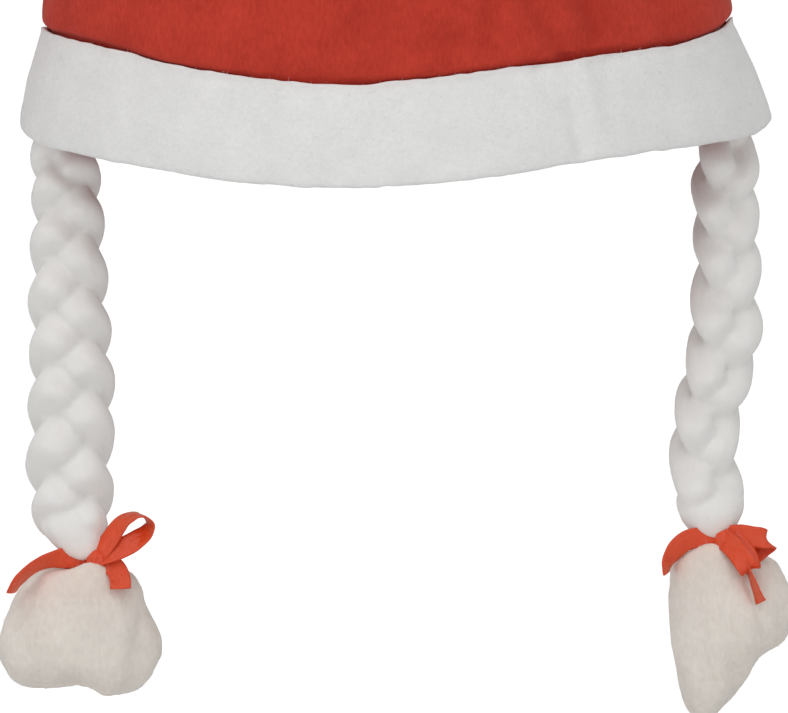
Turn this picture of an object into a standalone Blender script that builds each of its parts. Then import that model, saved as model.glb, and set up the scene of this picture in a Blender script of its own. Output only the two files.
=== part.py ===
"""Santa hat with two plaits: felt crown with a drooping tail and pompom, felt brim band, and on each
side a three-strand plait tied off by a ribbon bow above a loose tuft.

Run it with: blender --background --python part.py, or from the text editor.

Lengths are metres. +Z is up, +X is the viewer's right and -Y the front. The origin is the middle of
the head opening, level with the lowest point of the band's lower edge. Left and right are the viewer's.
"""

import math
from collections import namedtuple

import bmesh
import bpy
import numpy as np
from mathutils import Vector

MM = 0.001

# Driving sizes
FELT_WALL = 1.5 * MM
BAND_WALL = 3.5 * MM
BAND_FOOT = 0.9 * MM  # the middle of the band's lower edge
BAND_HEAD = 35.7 * MM
GAP = 0.3 * MM
BAND_GAP = 0.5 * MM
RIBBON_WIDTH = 7.0 * MM
RIBBON_WALL = 1.0 * MM
POMPOM_RADIUS = 28.0 * MM

# How finely the round forms are divided
AROUND_HAT = 32
AROUND_BAND = 48
AROUND_TUFT = 20
AROUND_STRAND = 7
RINGS_PER_CROWN_ROW = 2
BAND_PROFILE_POINTS = 10
STEPS_PER_BULGE = 3

# Crown: each row is one section. Its plane leans by tilt degrees towards the left, and its front and
# back middle lie lower than its side folds by sag. Sizes in mm.
CrownRow = namedtuple("CrownRow", "centre_x centre_z tilt half_width half_depth sag")
CROWN_ROWS = (
    CrownRow(0.0, 2.0, 0.0, 121.8, 68.5, 11.2),
    CrownRow(-1.2, 17.0, 0.5, 117.4, 66.5, 12.2),
    CrownRow(-2.4, 33.0, 1.0, 112.4, 64.2, 13.2),
    CrownRow(-2.8, 39.0, 1.5, 115.0, 67.0, 13.2),
    CrownRow(-4.6, 52.0, 4.0, 112.6, 67.5, 12.4),
    CrownRow(-10.0, 76.0, 9.0, 104.5, 67.0, 10.2),
    CrownRow(-20.0, 107.0, 17.0, 91.5, 66.0, 7.0),
    CrownRow(-38.0, 141.0, 30.0, 75.0, 64.0, 3.0),
    CrownRow(-67.0, 168.0, 52.0, 59.0, 60.0, 0.0),
    CrownRow(-105.0, 178.0, 81.0, 48.0, 52.0, 0.0),
    CrownRow(-142.0, 164.0, 112.0, 38.0, 42.0, 0.0),
    CrownRow(-169.0, 134.0, 138.0, 27.0, 30.0, 0.0),
    CrownRow(-184.0, 103.0, 155.0, 16.0, 18.0, 0.0),
    CrownRow(-190.0, 84.0, 162.0, 6.0, 6.5, 0.0),
)
BAND_TOP_ROW = 2.0  # the row of CROWN_ROWS that the band's upper edge reaches
BAND_EDGE_ROW = 2.45  # where between the rows that edge lies
RIM_TILT = 1.35 * MM  # the right end of the rim is higher than the left by twice this
RIM_WAVE = 1.7 * MM  # lowers the rim left of the middle and raises it right of it
CORNER_LIFT = 4.0 * MM  # the folded corners of the rim are drawn up
CORNER_SPAN = 0.025  # share of the half width over which they are
SIDE_PINCH = 1.3  # 1 is an ellipse, more draws the sides to a fold
ROUND_FROM_ROW = 7.0  # from this row up the section is an ellipse
# The line of the band's upper edge: share of the half width, and how far the edge is lifted there, in mm
BAND_LINE = (
    (-1.0, 0.4),
    (-0.96, 1.7),
    (-0.86, 1.2),
    (-0.66, -0.2),
    (-0.45, -1.3),
    (-0.25, -1.8),
    (0.0, -1.5),
    (0.2, -1.2),
    (0.4, -1.8),
    (0.6, -3.6),
    (0.75, -4.7),
    (0.87, -5.0),
    (0.94, -4.0),
    (1.0, -2.6),
)

# Creases pressed into the crown: reach is the distance up its middle line, angle is degrees round the
# section from the right over the back, and slant turns the crease from running round. Sizes in mm.
Crease = namedtuple("Crease", "reach angle depth length width slant")
CREASES = (
    Crease(154.0, 180.0, 7.0, 46.0, 9.0, 0.0),
    Crease(198.0, 184.0, 8.0, 44.0, 8.0, 0.0),
    Crease(240.0, 177.0, 7.0, 36.0, 8.0, 0.0),
    Crease(282.0, 183.0, 4.0, 26.0, 7.0, 0.0),
    Crease(66.0, 298.0, 2.4, 36.0, 7.0, -62.0),
    Crease(82.0, 314.0, 2.2, 40.0, 8.0, -68.0),
    Crease(104.0, 262.0, 2.4, 50.0, 11.0, -80.0),
)

# Plaits: each row is one bulge on the plait's left side, from the root inside the hat to the neck
# under the ribbon. Sizes in mm.
BraidRow = namedtuple("BraidRow", "bulge z centre_x half_width")
BRAID_ROWS = {
    "left": (
        BraidRow(-0.9, 22.0, -109.0, 8.8),
        BraidRow(-0.4, 13.5, -110.4, 9.8),
        BraidRow(0.0, 6.0, -110.4, 11.6),
        BraidRow(1.0, -8.3, -109.3, 12.0),
        BraidRow(2.0, -24.3, -109.4, 13.0),
        BraidRow(3.0, -43.0, -109.2, 13.7),
        BraidRow(4.0, -60.3, -108.2, 14.6),
        BraidRow(5.0, -77.3, -107.6, 15.0),
        BraidRow(6.0, -95.7, -108.6, 15.2),
        BraidRow(7.0, -112.5, -107.8, 14.6),
        BraidRow(7.5, -119.6, -107.6, 12.6),
        BraidRow(7.8, -123.6, -106.2, 7.8),
        BraidRow(8.0, -126.2, -105.4, 5.8),
        BraidRow(8.2, -128.7, -105.3, 5.3),
    ),
    "right": (
        BraidRow(-1.3, 22.0, 109.1, 8.8),
        BraidRow(-0.8, 14.0, 109.9, 9.6),
        BraidRow(-0.4, 6.5, 109.8, 10.8),
        BraidRow(0.0, -2.3, 109.6, 11.6),
        BraidRow(1.0, -20.3, 110.0, 11.4),
        BraidRow(2.0, -39.0, 110.2, 11.9),
        BraidRow(3.0, -57.3, 109.4, 12.5),
        BraidRow(4.0, -75.7, 104.9, 12.2),
        BraidRow(5.0, -94.7, 102.8, 12.3),
        BraidRow(6.0, -109.0, 104.2, 12.4),
        BraidRow(6.6, -116.0, 105.2, 9.0),
        BraidRow(6.9, -119.4, 105.3, 6.0),
        BraidRow(7.2, -122.4, 105.3, 5.3),
    ),
}
BRAID_FRONT = {"left": 1.0, "right": -1.0}  # 1: strands run outwards at the front, -1: inwards
BRAID_ROLL = {"left": -8.0, "right": 20.0}  # degrees that the plait is turned about its length
STRANDS = 3
STRAND_SHARE = 0.57  # a strand's radius as a share of the plait's half width
DEPTH_SHARE = 0.35  # how far strands swing to front and back, as a share of the same

# Tufts: horizontal sections from the neck down. Sizes in mm.
TuftRow = namedtuple("TuftRow", "z centre_x half_width half_depth")
TUFT_ROWS = {
    "left": (
        TuftRow(-129.0, -105.3, 5.4, 5.4),
        TuftRow(-132.4, -105.3, 5.6, 5.6),
        TuftRow(-135.6, -105.4, 14.0, 10.0),
        TuftRow(-140.0, -105.2, 21.0, 14.0),
        TuftRow(-149.0, -105.0, 26.0, 17.0),
        TuftRow(-157.5, -105.0, 28.2, 17.5),
        TuftRow(-164.0, -105.0, 28.2, 16.5),
        TuftRow(-168.0, -104.6, 25.0, 14.0),
        TuftRow(-171.0, -103.6, 18.5, 10.5),
        TuftRow(-173.2, -103.2, 9.5, 5.5),
    ),
    "right": (
        TuftRow(-122.7, 105.3, 5.4, 5.4),
        TuftRow(-126.4, 105.4, 5.6, 5.6),
        TuftRow(-130.0, 108.0, 15.0, 11.0),
        TuftRow(-135.5, 110.3, 19.6, 14.0),
        TuftRow(-144.0, 112.0, 21.6, 15.5),
        TuftRow(-151.7, 112.0, 21.6, 15.5),
        TuftRow(-157.7, 109.8, 18.6, 14.5),
        TuftRow(-163.0, 106.8, 14.8, 13.0),
        TuftRow(-171.3, 104.3, 11.0, 10.5),
        TuftRow(-177.0, 103.4, 7.6, 7.0),
        TuftRow(-181.0, 102.8, 3.4, 3.0),
    ),
}
TUFT_LOCKS = {"left": 7, "right": 6}
LOCK_DEPTH = 0.10  # of the tuft's half width, where the locks are deepest
LOCKS_FROM = 2  # the row of TUFT_ROWS from which locks show

# Ribbon strips: centre line points, and the direction in which the ribbon's width runs. Sizes in mm,
# measured from the middle of the neck.
StripRow = namedtuple("StripRow", "x y z width_x width_y width_z")
NECK = {"left": (-105.3, -129.2), "right": (105.3, -122.9)}
WRAP_RADIUS = 6.6 * MM
RIBBON_STRIPS = {
    "left": {
        "shoulder_tail": (
            StripRow(4.0, -7.6, 1.5, 0.0, 0.0, 1.0),
            StripRow(-4.0, -8.8, 1.2, 0.0, -0.1, 1.0),
            StripRow(-10.0, -11.0, 0.0, -0.2, -0.2, 1.0),
            StripRow(-15.0, -13.0, -3.4, -0.5, -0.3, 0.8),
            StripRow(-18.8, -13.2, -7.2, -0.6, -0.3, 0.7),
            StripRow(-21.2, -12.0, -10.8, -0.7, -0.3, 0.6),
        ),
        "loop": (
            StripRow(6.0, -8.4, 1.4, 0.4, -0.7, -0.5),
            StripRow(11.0, -12.2, 7.4, 0.5, -0.7, -0.5),
            StripRow(16.4, -13.6, 13.0, 0.5, -0.7, -0.5),
            StripRow(21.4, -13.0, 15.0, 0.5, -0.7, -0.5),
            StripRow(23.7, -12.2, 11.6, 0.5, -0.7, -0.5),
            StripRow(20.8, -11.8, 7.2, 0.5, -0.7, -0.5),
            StripRow(14.5, -11.0, 3.0, 0.5, -0.7, -0.5),
            StripRow(6.5, -8.6, 0.2, 0.4, -0.7, -0.5),
        ),
        "front_tail": (
            StripRow(6.0, -8.2, 1.0, 0.7, 0.0, 0.7),
            StripRow(11.5, -11.0, -1.8, 0.9, -0.1, 0.3),
            StripRow(13.6, -14.2, -6.0, 1.0, 0.0, 0.0),
            StripRow(13.8, -16.6, -10.0, 1.0, 0.1, 0.0),
        ),
    },
    "right": {
        "shoulder_tail": (
            StripRow(5.0, -7.6, 1.2, 0.0, 0.0, 1.0),
            StripRow(-3.0, -8.4, 1.8, 0.0, -0.1, 1.0),
            StripRow(-8.0, -9.8, 1.2, -0.2, -0.1, 1.0),
            StripRow(-12.0, -10.6, -1.6, -0.7, -0.1, 0.7),
            StripRow(-14.0, -10.6, -6.0, -0.9, -0.1, 0.3),
            StripRow(-14.4, -9.8, -10.0, -1.0, -0.1, 0.0),
        ),
        "loop": (
            StripRow(5.0, -8.0, 3.0, 0.0, -0.95, -0.3),
            StripRow(10.0, -9.4, 4.8, 0.0, -0.95, -0.3),
            StripRow(15.0, -10.0, 5.0, 0.0, -0.95, -0.3),
            StripRow(19.5, -9.8, 3.2, 0.0, -0.95, -0.3),
            StripRow(21.3, -9.6, -0.6, 0.0, -0.95, -0.2),
            StripRow(18.6, -10.4, -4.4, 0.0, -0.95, -0.3),
            StripRow(12.5, -10.4, -4.4, 0.0, -0.95, -0.3),
            StripRow(5.5, -8.8, -0.8, 0.0, -0.95, -0.3),
        ),
        "front_tail": (
            StripRow(4.0, -9.0, 1.4, 0.5, -0.1, 0.8),
            StripRow(8.4, -13.0, -1.6, 0.7, -0.1, 0.6),
            StripRow(12.4, -16.4, -7.0, 0.9, 0.0, 0.4),
            StripRow(15.0, -18.0, -13.0, 1.0, 0.1, 0.2),
            StripRow(16.0, -18.2, -18.4, 1.0, 0.1, 0.1),
        ),
    },
}
STEPS_PER_STRIP_ROW = 2
KNOT = {"left": (5.6, -8.6, 0.4), "right": (4.4, -8.6, 0.8)}
KNOT_HALF = (3.4, 2.6, 3.6)

# Pompom: locks of yarn spread evenly over a ball
POMPOM_LOCKS = 34
LOCK_HEIGHT = 3.2 * MM
LOCK_SPREAD = 0.34  # radians

FINISHES = {
    "red_felt": ((0.50, 0.042, 0.024), 0.95),
    "white_felt": ((0.80, 0.80, 0.79), 0.95),
    "plait_fibre": ((0.80, 0.78, 0.75), 0.85),
    "red_satin": ((0.62, 0.050, 0.018), 0.40),
}


def spline(rows, per_row):
    """Points on a Catmull-Rom curve through the rows, per_row of them to each row, and their places."""
    table = np.array(rows, float)
    ends = np.vstack([2 * table[0] - table[1], table, 2 * table[-1] - table[-2]])
    places = np.linspace(0, len(table) - 1, (len(table) - 1) * per_row + 1)
    return places, np.array([spline_at(ends, place) for place in places])


def spline_at(ends, place):
    """One point of the curve, from the rows with an extra one at each end."""
    row = min(int(place), len(ends) - 4)
    t = place - row
    a, b, c, d = ends[row : row + 4]
    return 0.5 * (2 * b + (c - a) * t + (2 * a - 5 * b + 4 * c - d) * t**2 + (3 * b - a - 3 * c + d) * t**3)


def material(name):
    """The named finish, made once."""
    found = bpy.data.materials.get(name)
    if found is None:
        colour, roughness = FINISHES[name]
        found = bpy.data.materials.new(name)
        found.use_nodes = True
        shader = found.node_tree.nodes["Principled BSDF"]
        shader.inputs["Base Color"].default_value = (*colour, 1.0)
        shader.inputs["Roughness"].default_value = roughness
        shader.inputs["Metallic"].default_value = 0.0
    return found


def mesh_object(name, mesh, finish, collection):
    """An object of this mesh with its finish, in the collection."""
    obj = bpy.data.objects.new(name, mesh)
    mesh.materials.clear()
    mesh.materials.append(material(finish))
    collection.objects.link(obj)
    return obj


def lofted(rings, close_first=False, close_last=False, tube=False):
    """A mesh through rings of equally many points. tube joins the last ring to the first."""
    build = bmesh.new()
    grid = [[build.verts.new(point) for point in ring] for ring in rings]
    pairs = list(zip(grid, grid[1:])) + ([(grid[-1], grid[0])] if tube else [])
    for low, high in pairs:
        for i in range(len(low)):
            j = (i + 1) % len(low)
            build.faces.new((low[i], low[j], high[j], high[i]))
    if close_first:
        build.faces.new(list(reversed(grid[0])))
    if close_last:
        build.faces.new(grid[-1])
    bmesh.ops.triangulate(build, faces=[f for f in build.faces if len(f.verts) > 4])
    if tube or (close_first and close_last):
        bmesh.ops.recalc_face_normals(build, faces=build.faces)
        if build.calc_volume(signed=True) < 0:
            bmesh.ops.reverse_faces(build, faces=build.faces)
    mesh = bpy.data.meshes.new("loft")
    build.to_mesh(mesh)
    build.free()
    mesh.shade_smooth()
    return mesh


def rim_lift(across):
    """How far the rim stands above its lowest level, from the share of the half width, less the sag."""
    corner = CORNER_LIFT * np.exp(-((1 - np.abs(across)) / CORNER_SPAN))
    return RIM_TILT * across + RIM_WAVE * np.sin(math.pi * across) + corner


def crown_point(section, place, angle, outwards):
    """A point of the hat's surface: section is one row of CROWN_ROWS in mm, angle goes round it."""
    row = CrownRow(*section)
    tilt = math.radians(row.tilt)
    pinch = SIDE_PINCH + (1 - SIDE_PINCH) * min(1.0, place / ROUND_FROM_ROW)
    across, deep = math.cos(angle), math.sin(angle)
    width = (row.half_width * MM + outwards) * across
    depth = (row.half_depth * MM + outwards) * math.copysign(abs(deep) ** pinch, deep)
    fade = max(0.0, 1 - place / ROUND_FROM_ROW)
    rounded = (across**2 + math.sin(math.pi / 2 * across) ** 2) / 2
    edge_fade = np.interp(place, (0.0, BAND_EDGE_ROW, ROUND_FROM_ROW), (0.0, 1.0, 0.0))
    edge = np.interp(across, *zip(*BAND_LINE)) * edge_fade
    lift = (row.sag * rounded + edge) * MM + rim_lift(across) * fade
    sideways = Vector((math.cos(tilt), 0, math.sin(tilt)))
    upwards = Vector((-math.sin(tilt), 0, math.cos(tilt)))
    centre = Vector((row.centre_x * MM, 0, row.centre_z * MM))
    return centre + sideways * width + Vector((0, depth, 0)) + upwards * lift


def crease_depth(reach, angle, girth):
    """How far the creases press the crown in at a place, reach mm up it where a radian round is girth mm."""
    total = 0.0
    for crease in CREASES:
        turn = (angle - math.radians(crease.angle) + math.pi) % (2 * math.pi) - math.pi
        rise, round_it = reach - crease.reach, turn * girth
        slant = math.radians(crease.slant)
        lengthwise = round_it * math.cos(slant) + rise * math.sin(slant)
        crosswise = rise * math.cos(slant) - round_it * math.sin(slant)
        total += crease.depth * math.exp(-((lengthwise / crease.length) ** 2) - (crosswise / crease.width) ** 2)
    return total * MM


def make_crown(collection):
    """The felt cone: an open shell from its cut edge to its closed tip, then its wall."""
    places, sections = spline(CROWN_ROWS, RINGS_PER_CROWN_ROW)
    steps = np.linalg.norm(np.diff(sections[:, :2], axis=0), axis=1)
    reaches = np.concatenate([[0.0], np.cumsum(steps)])
    rings = []
    for place, reach, section in zip(places, reaches, sections):
        row = CrownRow(*section)
        girth = (row.half_width + row.half_depth) / 2
        ring = []
        for i in range(AROUND_HAT):
            angle = 2 * math.pi * i / AROUND_HAT
            dent = crease_depth(reach, angle, girth)
            ring.append(crown_point(section, place, angle, -dent if place > BAND_TOP_ROW else 0.0))
        rings.append(ring)
    crown = mesh_object("crown", lofted(rings, close_last=True), "red_felt", collection)
    wall = crown.modifiers.new("wall", "SOLIDIFY")
    wall.thickness = FELT_WALL
    wall.offset = -1
    wall.use_even_offset = False
    return crown


def make_band(collection):
    """The brim band: a soft folded strip of felt, lofted round the crown's lower edge."""
    ends = np.array(CROWN_ROWS, float)
    ends = np.vstack([2 * ends[0] - ends[1], ends])
    heights = [row.centre_z for row in CROWN_ROWS[:4]]
    rings = []
    for i in range(AROUND_BAND):
        angle = 2 * math.pi * i / AROUND_BAND
        ring = []
        for k in range(BAND_PROFILE_POINTS):
            turn = 2 * math.pi * k / BAND_PROFILE_POINTS
            up = math.copysign(abs(math.sin(turn)) ** 0.35, math.sin(turn))
            out = math.copysign(abs(math.cos(turn)) ** 0.7, math.cos(turn))
            level = BAND_FOOT + (BAND_HEAD - BAND_FOOT) * (1 + up) / 2
            place = float(np.interp(level / MM, heights, range(len(heights))))
            outwards = BAND_GAP + BAND_WALL * (1 + out) / 2
            ring.append(crown_point(spline_at(ends, place), place, angle, outwards))
            ring[-1].z += min(0.0, level - heights[0] * MM)
        rings.append(ring)
    return mesh_object("brim_band", lofted(rings, tube=True), "white_felt", collection)


def join(base, others, helpers):
    """Joins the other objects to the base by one Boolean union, and hides them."""
    group = bpy.data.collections.new("joined_to_" + base.name)
    helpers.children.link(group)
    for other in others:
        for holder in list(other.users_collection):
            holder.objects.unlink(other)
        group.objects.link(other)
        other.hide_render = True
        other.display_type = "WIRE"
    union = base.modifiers.new("join", "BOOLEAN")
    union.operation = "UNION"
    union.solver = "EXACT"
    union.operand_type = "COLLECTION"
    union.collection = group
    union.use_self = True
    return base


def strand_rings(side, strand):
    """Level rings round one strand of a plait, from its neck up to its root."""
    _, samples = spline(BRAID_ROWS[side], STEPS_PER_BULGE)
    roll = math.radians(BRAID_ROLL[side])
    rings = []
    for row in (BraidRow(*sample) for sample in samples[::-1]):
        phase = 2 * math.pi * (row.bulge - strand) / STRANDS
        radius = row.half_width * STRAND_SHARE
        across = -(row.half_width - radius) * math.cos(phase)
        deep = BRAID_FRONT[side] * row.half_width * DEPTH_SHARE * math.sin(2 * phase)
        ring = []
        for i in range(AROUND_STRAND):
            angle = 2 * math.pi * (i + 0.5) / AROUND_STRAND
            x, y = across + radius * math.cos(angle), deep + radius * math.sin(angle)
            turned_x = x * math.cos(roll) - y * math.sin(roll)
            turned_y = x * math.sin(roll) + y * math.cos(roll)
            ring.append(((row.centre_x + turned_x) * MM, turned_y * MM, (row.z + strand * 0.2) * MM))
        rings.append(ring)
    return rings


def make_braid(side, collection, helpers):
    """A plait: three strands of fibre that press into each other, as one solid."""
    strands = []
    for strand in range(STRANDS):
        name = f"braid_{side}" if strand == 0 else f"strand_{side}_{strand}"
        home = collection if strand == 0 else helpers
        mesh = lofted(strand_rings(side, strand), True, True)
        strands.append(mesh_object(name, mesh, "plait_fibre", home))
    return join(strands[0], strands[1:], helpers)


def make_tuft(side, collection):
    """The loose end of a plait below its ribbon, in soft locks."""
    places, sections = spline(TUFT_ROWS[side], 1)
    rings = []
    for place, row in zip(places, (TuftRow(*section) for section in sections)):
        depth = LOCK_DEPTH * min(1.0, max(0.0, (place - LOCKS_FROM + 1) / 2))
        ring = []
        for i in range(AROUND_TUFT):
            angle = 2 * math.pi * i / AROUND_TUFT
            size = 1 - depth * (1 + math.cos(TUFT_LOCKS[side] * angle + 0.5)) / 2
            x = row.centre_x + row.half_width * size * math.cos(angle)
            ring.append((x * MM, row.half_depth * size * math.sin(angle) * MM, row.z * MM))
        rings.append(ring)
    return mesh_object(f"tuft_{side}", lofted(rings, True, True), "plait_fibre", collection)


def strip_mesh(rows, side):
    """A ribbon strip swept through the rows, as a closed solid of the ribbon's width and thickness."""
    neck_x, neck_z = NECK[side]
    _, samples = spline(rows, STEPS_PER_STRIP_ROW)
    centres = [Vector((s[0] + neck_x, s[1], s[2] + neck_z)) * MM for s in samples]
    rings = []
    for i, sample in enumerate(samples):
        ahead = centres[min(i + 1, len(centres) - 1)] - centres[max(i - 1, 0)]
        wide = Vector(sample[3:6]).normalized()
        wide = (wide - ahead.normalized() * wide.dot(ahead.normalized())).normalized() * RIBBON_WIDTH / 2
        thick = wide.cross(ahead).normalized() * RIBBON_WALL / 2
        corners = (wide + thick, wide - thick, -wide - thick, -wide + thick)
        rings.append([centres[i] + corner for corner in corners])
    return lofted(rings, True, True)


def make_ribbon(side, collection, helpers):
    """A ribbon tied round the neck of the plait: its wrap, knot, loop and two tails, as one solid."""
    neck_x, neck_z = NECK[side]
    rings = []
    for i in range(AROUND_TUFT):
        angle = 2 * math.pi * i / AROUND_TUFT
        ring = []
        for out, up in ((0, 1), (1, 1), (1, -1), (0, -1)):
            radius = WRAP_RADIUS + out * RIBBON_WALL
            at = (neck_x * MM + radius * math.cos(angle), radius * math.sin(angle))
            ring.append((*at, neck_z * MM + up * RIBBON_WIDTH / 2))
        rings.append(ring)
    wrap = mesh_object(f"ribbon_{side}", lofted(rings, tube=True), "red_satin", collection)
    pieces = []
    for name, rows in RIBBON_STRIPS[side].items():
        pieces.append(mesh_object(f"{name}_{side}", strip_mesh(rows, side), "red_satin", helpers))
    bpy.ops.mesh.primitive_uv_sphere_add(segments=10, ring_count=7, radius=1.0)
    knot = bpy.context.object
    knot.name = f"knot_{side}"
    for vertex in knot.data.vertices:
        x, y, z = (k * v + h for k, v, h in zip(KNOT_HALF, vertex.co, KNOT[side]))
        vertex.co = Vector((x + neck_x, y, z + neck_z)) * MM
    knot.data.materials.append(material("red_satin"))
    return join(wrap, [knot, *pieces], helpers)


def make_pompom(collection):
    """The pompom on the crown's tip: a ball whose surface stands up in locks of yarn."""
    tip = CrownRow(*CROWN_ROWS[-1])
    lean = math.radians(tip.tilt)
    away = Vector((-math.sin(lean), 0, math.cos(lean)))
    core = POMPOM_RADIUS - LOCK_HEIGHT
    centre = Vector((tip.centre_x, 0, tip.centre_z)) * MM + away * (core + GAP)
    golden = math.pi * (3 - math.sqrt(5))
    locks = []
    for i in range(POMPOM_LOCKS):
        height = 1 - 2 * (i + 0.5) / POMPOM_LOCKS
        flat = math.sqrt(1 - height**2)
        locks.append(Vector((flat * math.cos(golden * i), flat * math.sin(golden * i), height)))
    bpy.ops.mesh.primitive_uv_sphere_add(segments=26, ring_count=16, radius=1.0)
    pompom = bpy.context.object
    pompom.name = "pompom"
    for vertex in pompom.data.vertices:
        outward = vertex.co.normalized()
        nearest = min(outward.angle(lock) for lock in locks)
        at_tip = min(1.0, max(0.0, (outward.angle(-away) - 0.25) / 0.3))
        stand = LOCK_HEIGHT * math.exp(-((nearest / LOCK_SPREAD) ** 2)) * at_tip
        vertex.co = centre + outward * (core + stand)
    pompom.data.materials.append(material("white_felt"))
    pompom.data.shade_smooth()
    for holder in pompom.users_collection:
        holder.objects.unlink(pompom)
    collection.objects.link(pompom)
    return pompom


def main():
    for obj in list(bpy.data.objects):
        bpy.data.objects.remove(obj)
    parts = bpy.data.collections.new("santa_hat")
    helpers = bpy.data.collections.new("helpers")
    for collection in (parts, helpers):
        bpy.context.scene.collection.children.link(collection)
    make_crown(parts)
    make_band(parts)
    make_pompom(parts)
    for side in ("left", "right"):
        make_braid(side, parts, helpers)
        make_tuft(side, parts)
        make_ribbon(side, parts, helpers)


main()
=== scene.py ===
"""Looks of the santa hat with two plaits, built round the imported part.

Lengths are metres. +Z is up, +X is the viewer's right and -Y the front. Left and right are the
viewer's. The hat's surface, the plaits and the ribbons follow the same tables as the part's source.
"""

import itertools
import logging
import math
from dataclasses import dataclass, field
from enum import Enum
from typing import ClassVar

import bpy
import numpy as np
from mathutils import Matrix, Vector
from mathutils.kdtree import KDTree


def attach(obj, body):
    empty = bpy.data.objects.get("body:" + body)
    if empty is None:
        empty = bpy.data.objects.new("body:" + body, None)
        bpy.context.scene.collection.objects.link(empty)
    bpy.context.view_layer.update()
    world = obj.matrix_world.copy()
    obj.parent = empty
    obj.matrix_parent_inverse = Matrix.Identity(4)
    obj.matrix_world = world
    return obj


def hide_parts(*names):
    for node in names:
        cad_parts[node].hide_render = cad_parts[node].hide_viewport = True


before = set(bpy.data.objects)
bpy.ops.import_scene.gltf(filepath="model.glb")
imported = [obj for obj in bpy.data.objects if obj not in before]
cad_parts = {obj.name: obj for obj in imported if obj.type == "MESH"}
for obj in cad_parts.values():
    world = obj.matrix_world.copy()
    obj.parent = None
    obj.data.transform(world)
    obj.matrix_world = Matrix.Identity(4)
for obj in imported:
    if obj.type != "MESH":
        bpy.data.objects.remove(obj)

MM = 0.001
TINY = 1e-12
HASH_AXES = (73856093, 19349663, 83492791)
HASH_SEED = 40503
HASH_STEPS = ((15, 2246822519), (13, 3266489917))
HASH_BITS = 0xFFFFFFFF
LOG = logging.getLogger("santa_hat")
Table = tuple[tuple[float, ...], ...]
Colour = tuple[float, float, float]
Piece = bpy.types.Object
Material = bpy.types.Material
Tree = bpy.types.NodeTree
Socket = bpy.types.NodeSocket
Value = float | str | tuple[float, ...] | Socket


class Side(Enum):
    """The two sides of the hat, as the viewer sees them."""

    LEFT = "left"
    RIGHT = "right"


class Slot(Enum):
    """The part's material slots."""

    RED_FELT = "red_felt"
    WHITE_FELT = "white_felt"
    PLAIT_FIBRE = "plait_fibre"
    RED_SATIN = "red_satin"


class PointValue(Enum):
    """What finishes and fibres read at each point of a mesh: its name, kind, key and width."""

    FIBRE_AT = ("fibre_at", "FLOAT_VECTOR", "vector", 3)
    FLOW = ("flow", "FLOAT_VECTOR", "vector", 3)
    TINT = ("tint", "FLOAT", "value", 1)

    def read(self, mesh: bpy.types.Mesh) -> np.ndarray:
        """Reads the values.

        Args:
            mesh: the mesh that has them.

        Returns:
            One row for each point.
        """
        name, _, key, width = self.value
        values = np.empty(len(mesh.vertices) * width, np.float32)
        mesh.attributes[name].data.foreach_get(key, values)
        return values.reshape(-1, width)

    def write(self, mesh: bpy.types.Mesh, values: np.ndarray) -> None:
        """Writes the values.

        Args:
            mesh: the mesh that gets them.
            values: one row for each point.
        """
        name, kind, key, _ = self.value
        if name not in mesh.attributes:
            mesh.attributes.new(name, kind, "POINT")
        mesh.attributes[name].data.foreach_set(key, values.astype(np.float32).ravel())


# Shapes from tables of numbers


def along(table: Table, places: np.ndarray) -> np.ndarray:
    """Points on a Catmull-Rom curve through the rows of a table.

    Args:
        table: the rows.
        places: where on the curve, in rows from the first.

    Returns:
        One row of values for each place.
    """
    rows = np.asarray(table, float)
    rows = np.vstack([2 * rows[0] - rows[1], rows, 2 * rows[-1] - rows[-2]])
    first = np.clip(places.astype(int), 0, len(rows) - 4)
    t = (places - first)[:, None]
    a, b, c, d = (rows[first + k] for k in range(4))
    return 0.5 * (2 * b + (c - a) * t + (2 * a - 5 * b + 4 * c - d) * t**2 + (3 * b - a - 3 * c + d) * t**3)


def turns(count: int) -> np.ndarray:
    """Angles evenly spaced round a circle."""
    return np.arange(count) * 2 * math.pi / count


def stacked(*coordinates: np.ndarray) -> np.ndarray:
    """Points, from their x, y and z."""
    return np.stack(np.broadcast_arrays(*coordinates), axis=-1)


def noise(points: np.ndarray, size: float, seed: int) -> np.ndarray:
    """Smooth noise between -1 and 1.

    Args:
        points: where, in any shape that ends in three coordinates.
        size: how far apart the bumps are, in the units of the points.
        seed: picks the pattern.

    Returns:
        One value for each point.
    """
    cell = points / size
    base = np.floor(cell).astype(np.int64)
    part = cell - base
    part = part * part * (3 - 2 * part)
    total = np.zeros(points.shape[:-1])
    for corner in itertools.product((0, 1), repeat=3):
        key = (base + corner) * np.array(HASH_AXES)
        mixed = (key[..., 0] ^ key[..., 1] ^ key[..., 2] ^ (seed * HASH_SEED)) & HASH_BITS
        for shift, factor in HASH_STEPS:
            mixed = ((mixed ^ (mixed >> shift)) * factor) & HASH_BITS
        weight = np.prod(np.where(corner, part, 1 - part), axis=-1)
        total += weight * ((mixed ^ (mixed >> 16)) / 2**31 - 1)
    return total


def relief(points: np.ndarray, layers: Table) -> np.ndarray:
    """Layers of smooth noise, added up.

    Args:
        points: where, in metres.
        layers: the height in mm, the size in mm and the seed of each layer.

    Returns:
        One height for each point, in mm.
    """
    total = np.zeros(points.shape[:-1])
    for height, size, seed in layers:
        total += height * noise(points, size * MM, seed)
    return total


def normals_of(grid: np.ndarray, loop: bool = False) -> np.ndarray:
    """The unit normals of a grid of rings whose points run round it.

    Args:
        grid: rings by points by three.
        loop: whether the last ring meets the first.

    Returns:
        The normals, in the grid's shape.
    """
    round_it = np.roll(grid, -1, 1) - np.roll(grid, 1, 1)
    up_it = np.roll(grid, -1, 0) - np.roll(grid, 1, 0) if loop else np.gradient(grid, axis=0)
    normal = np.cross(round_it, up_it)
    return normal / np.maximum(np.linalg.norm(normal, axis=-1, keepdims=True), TINY)


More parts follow.
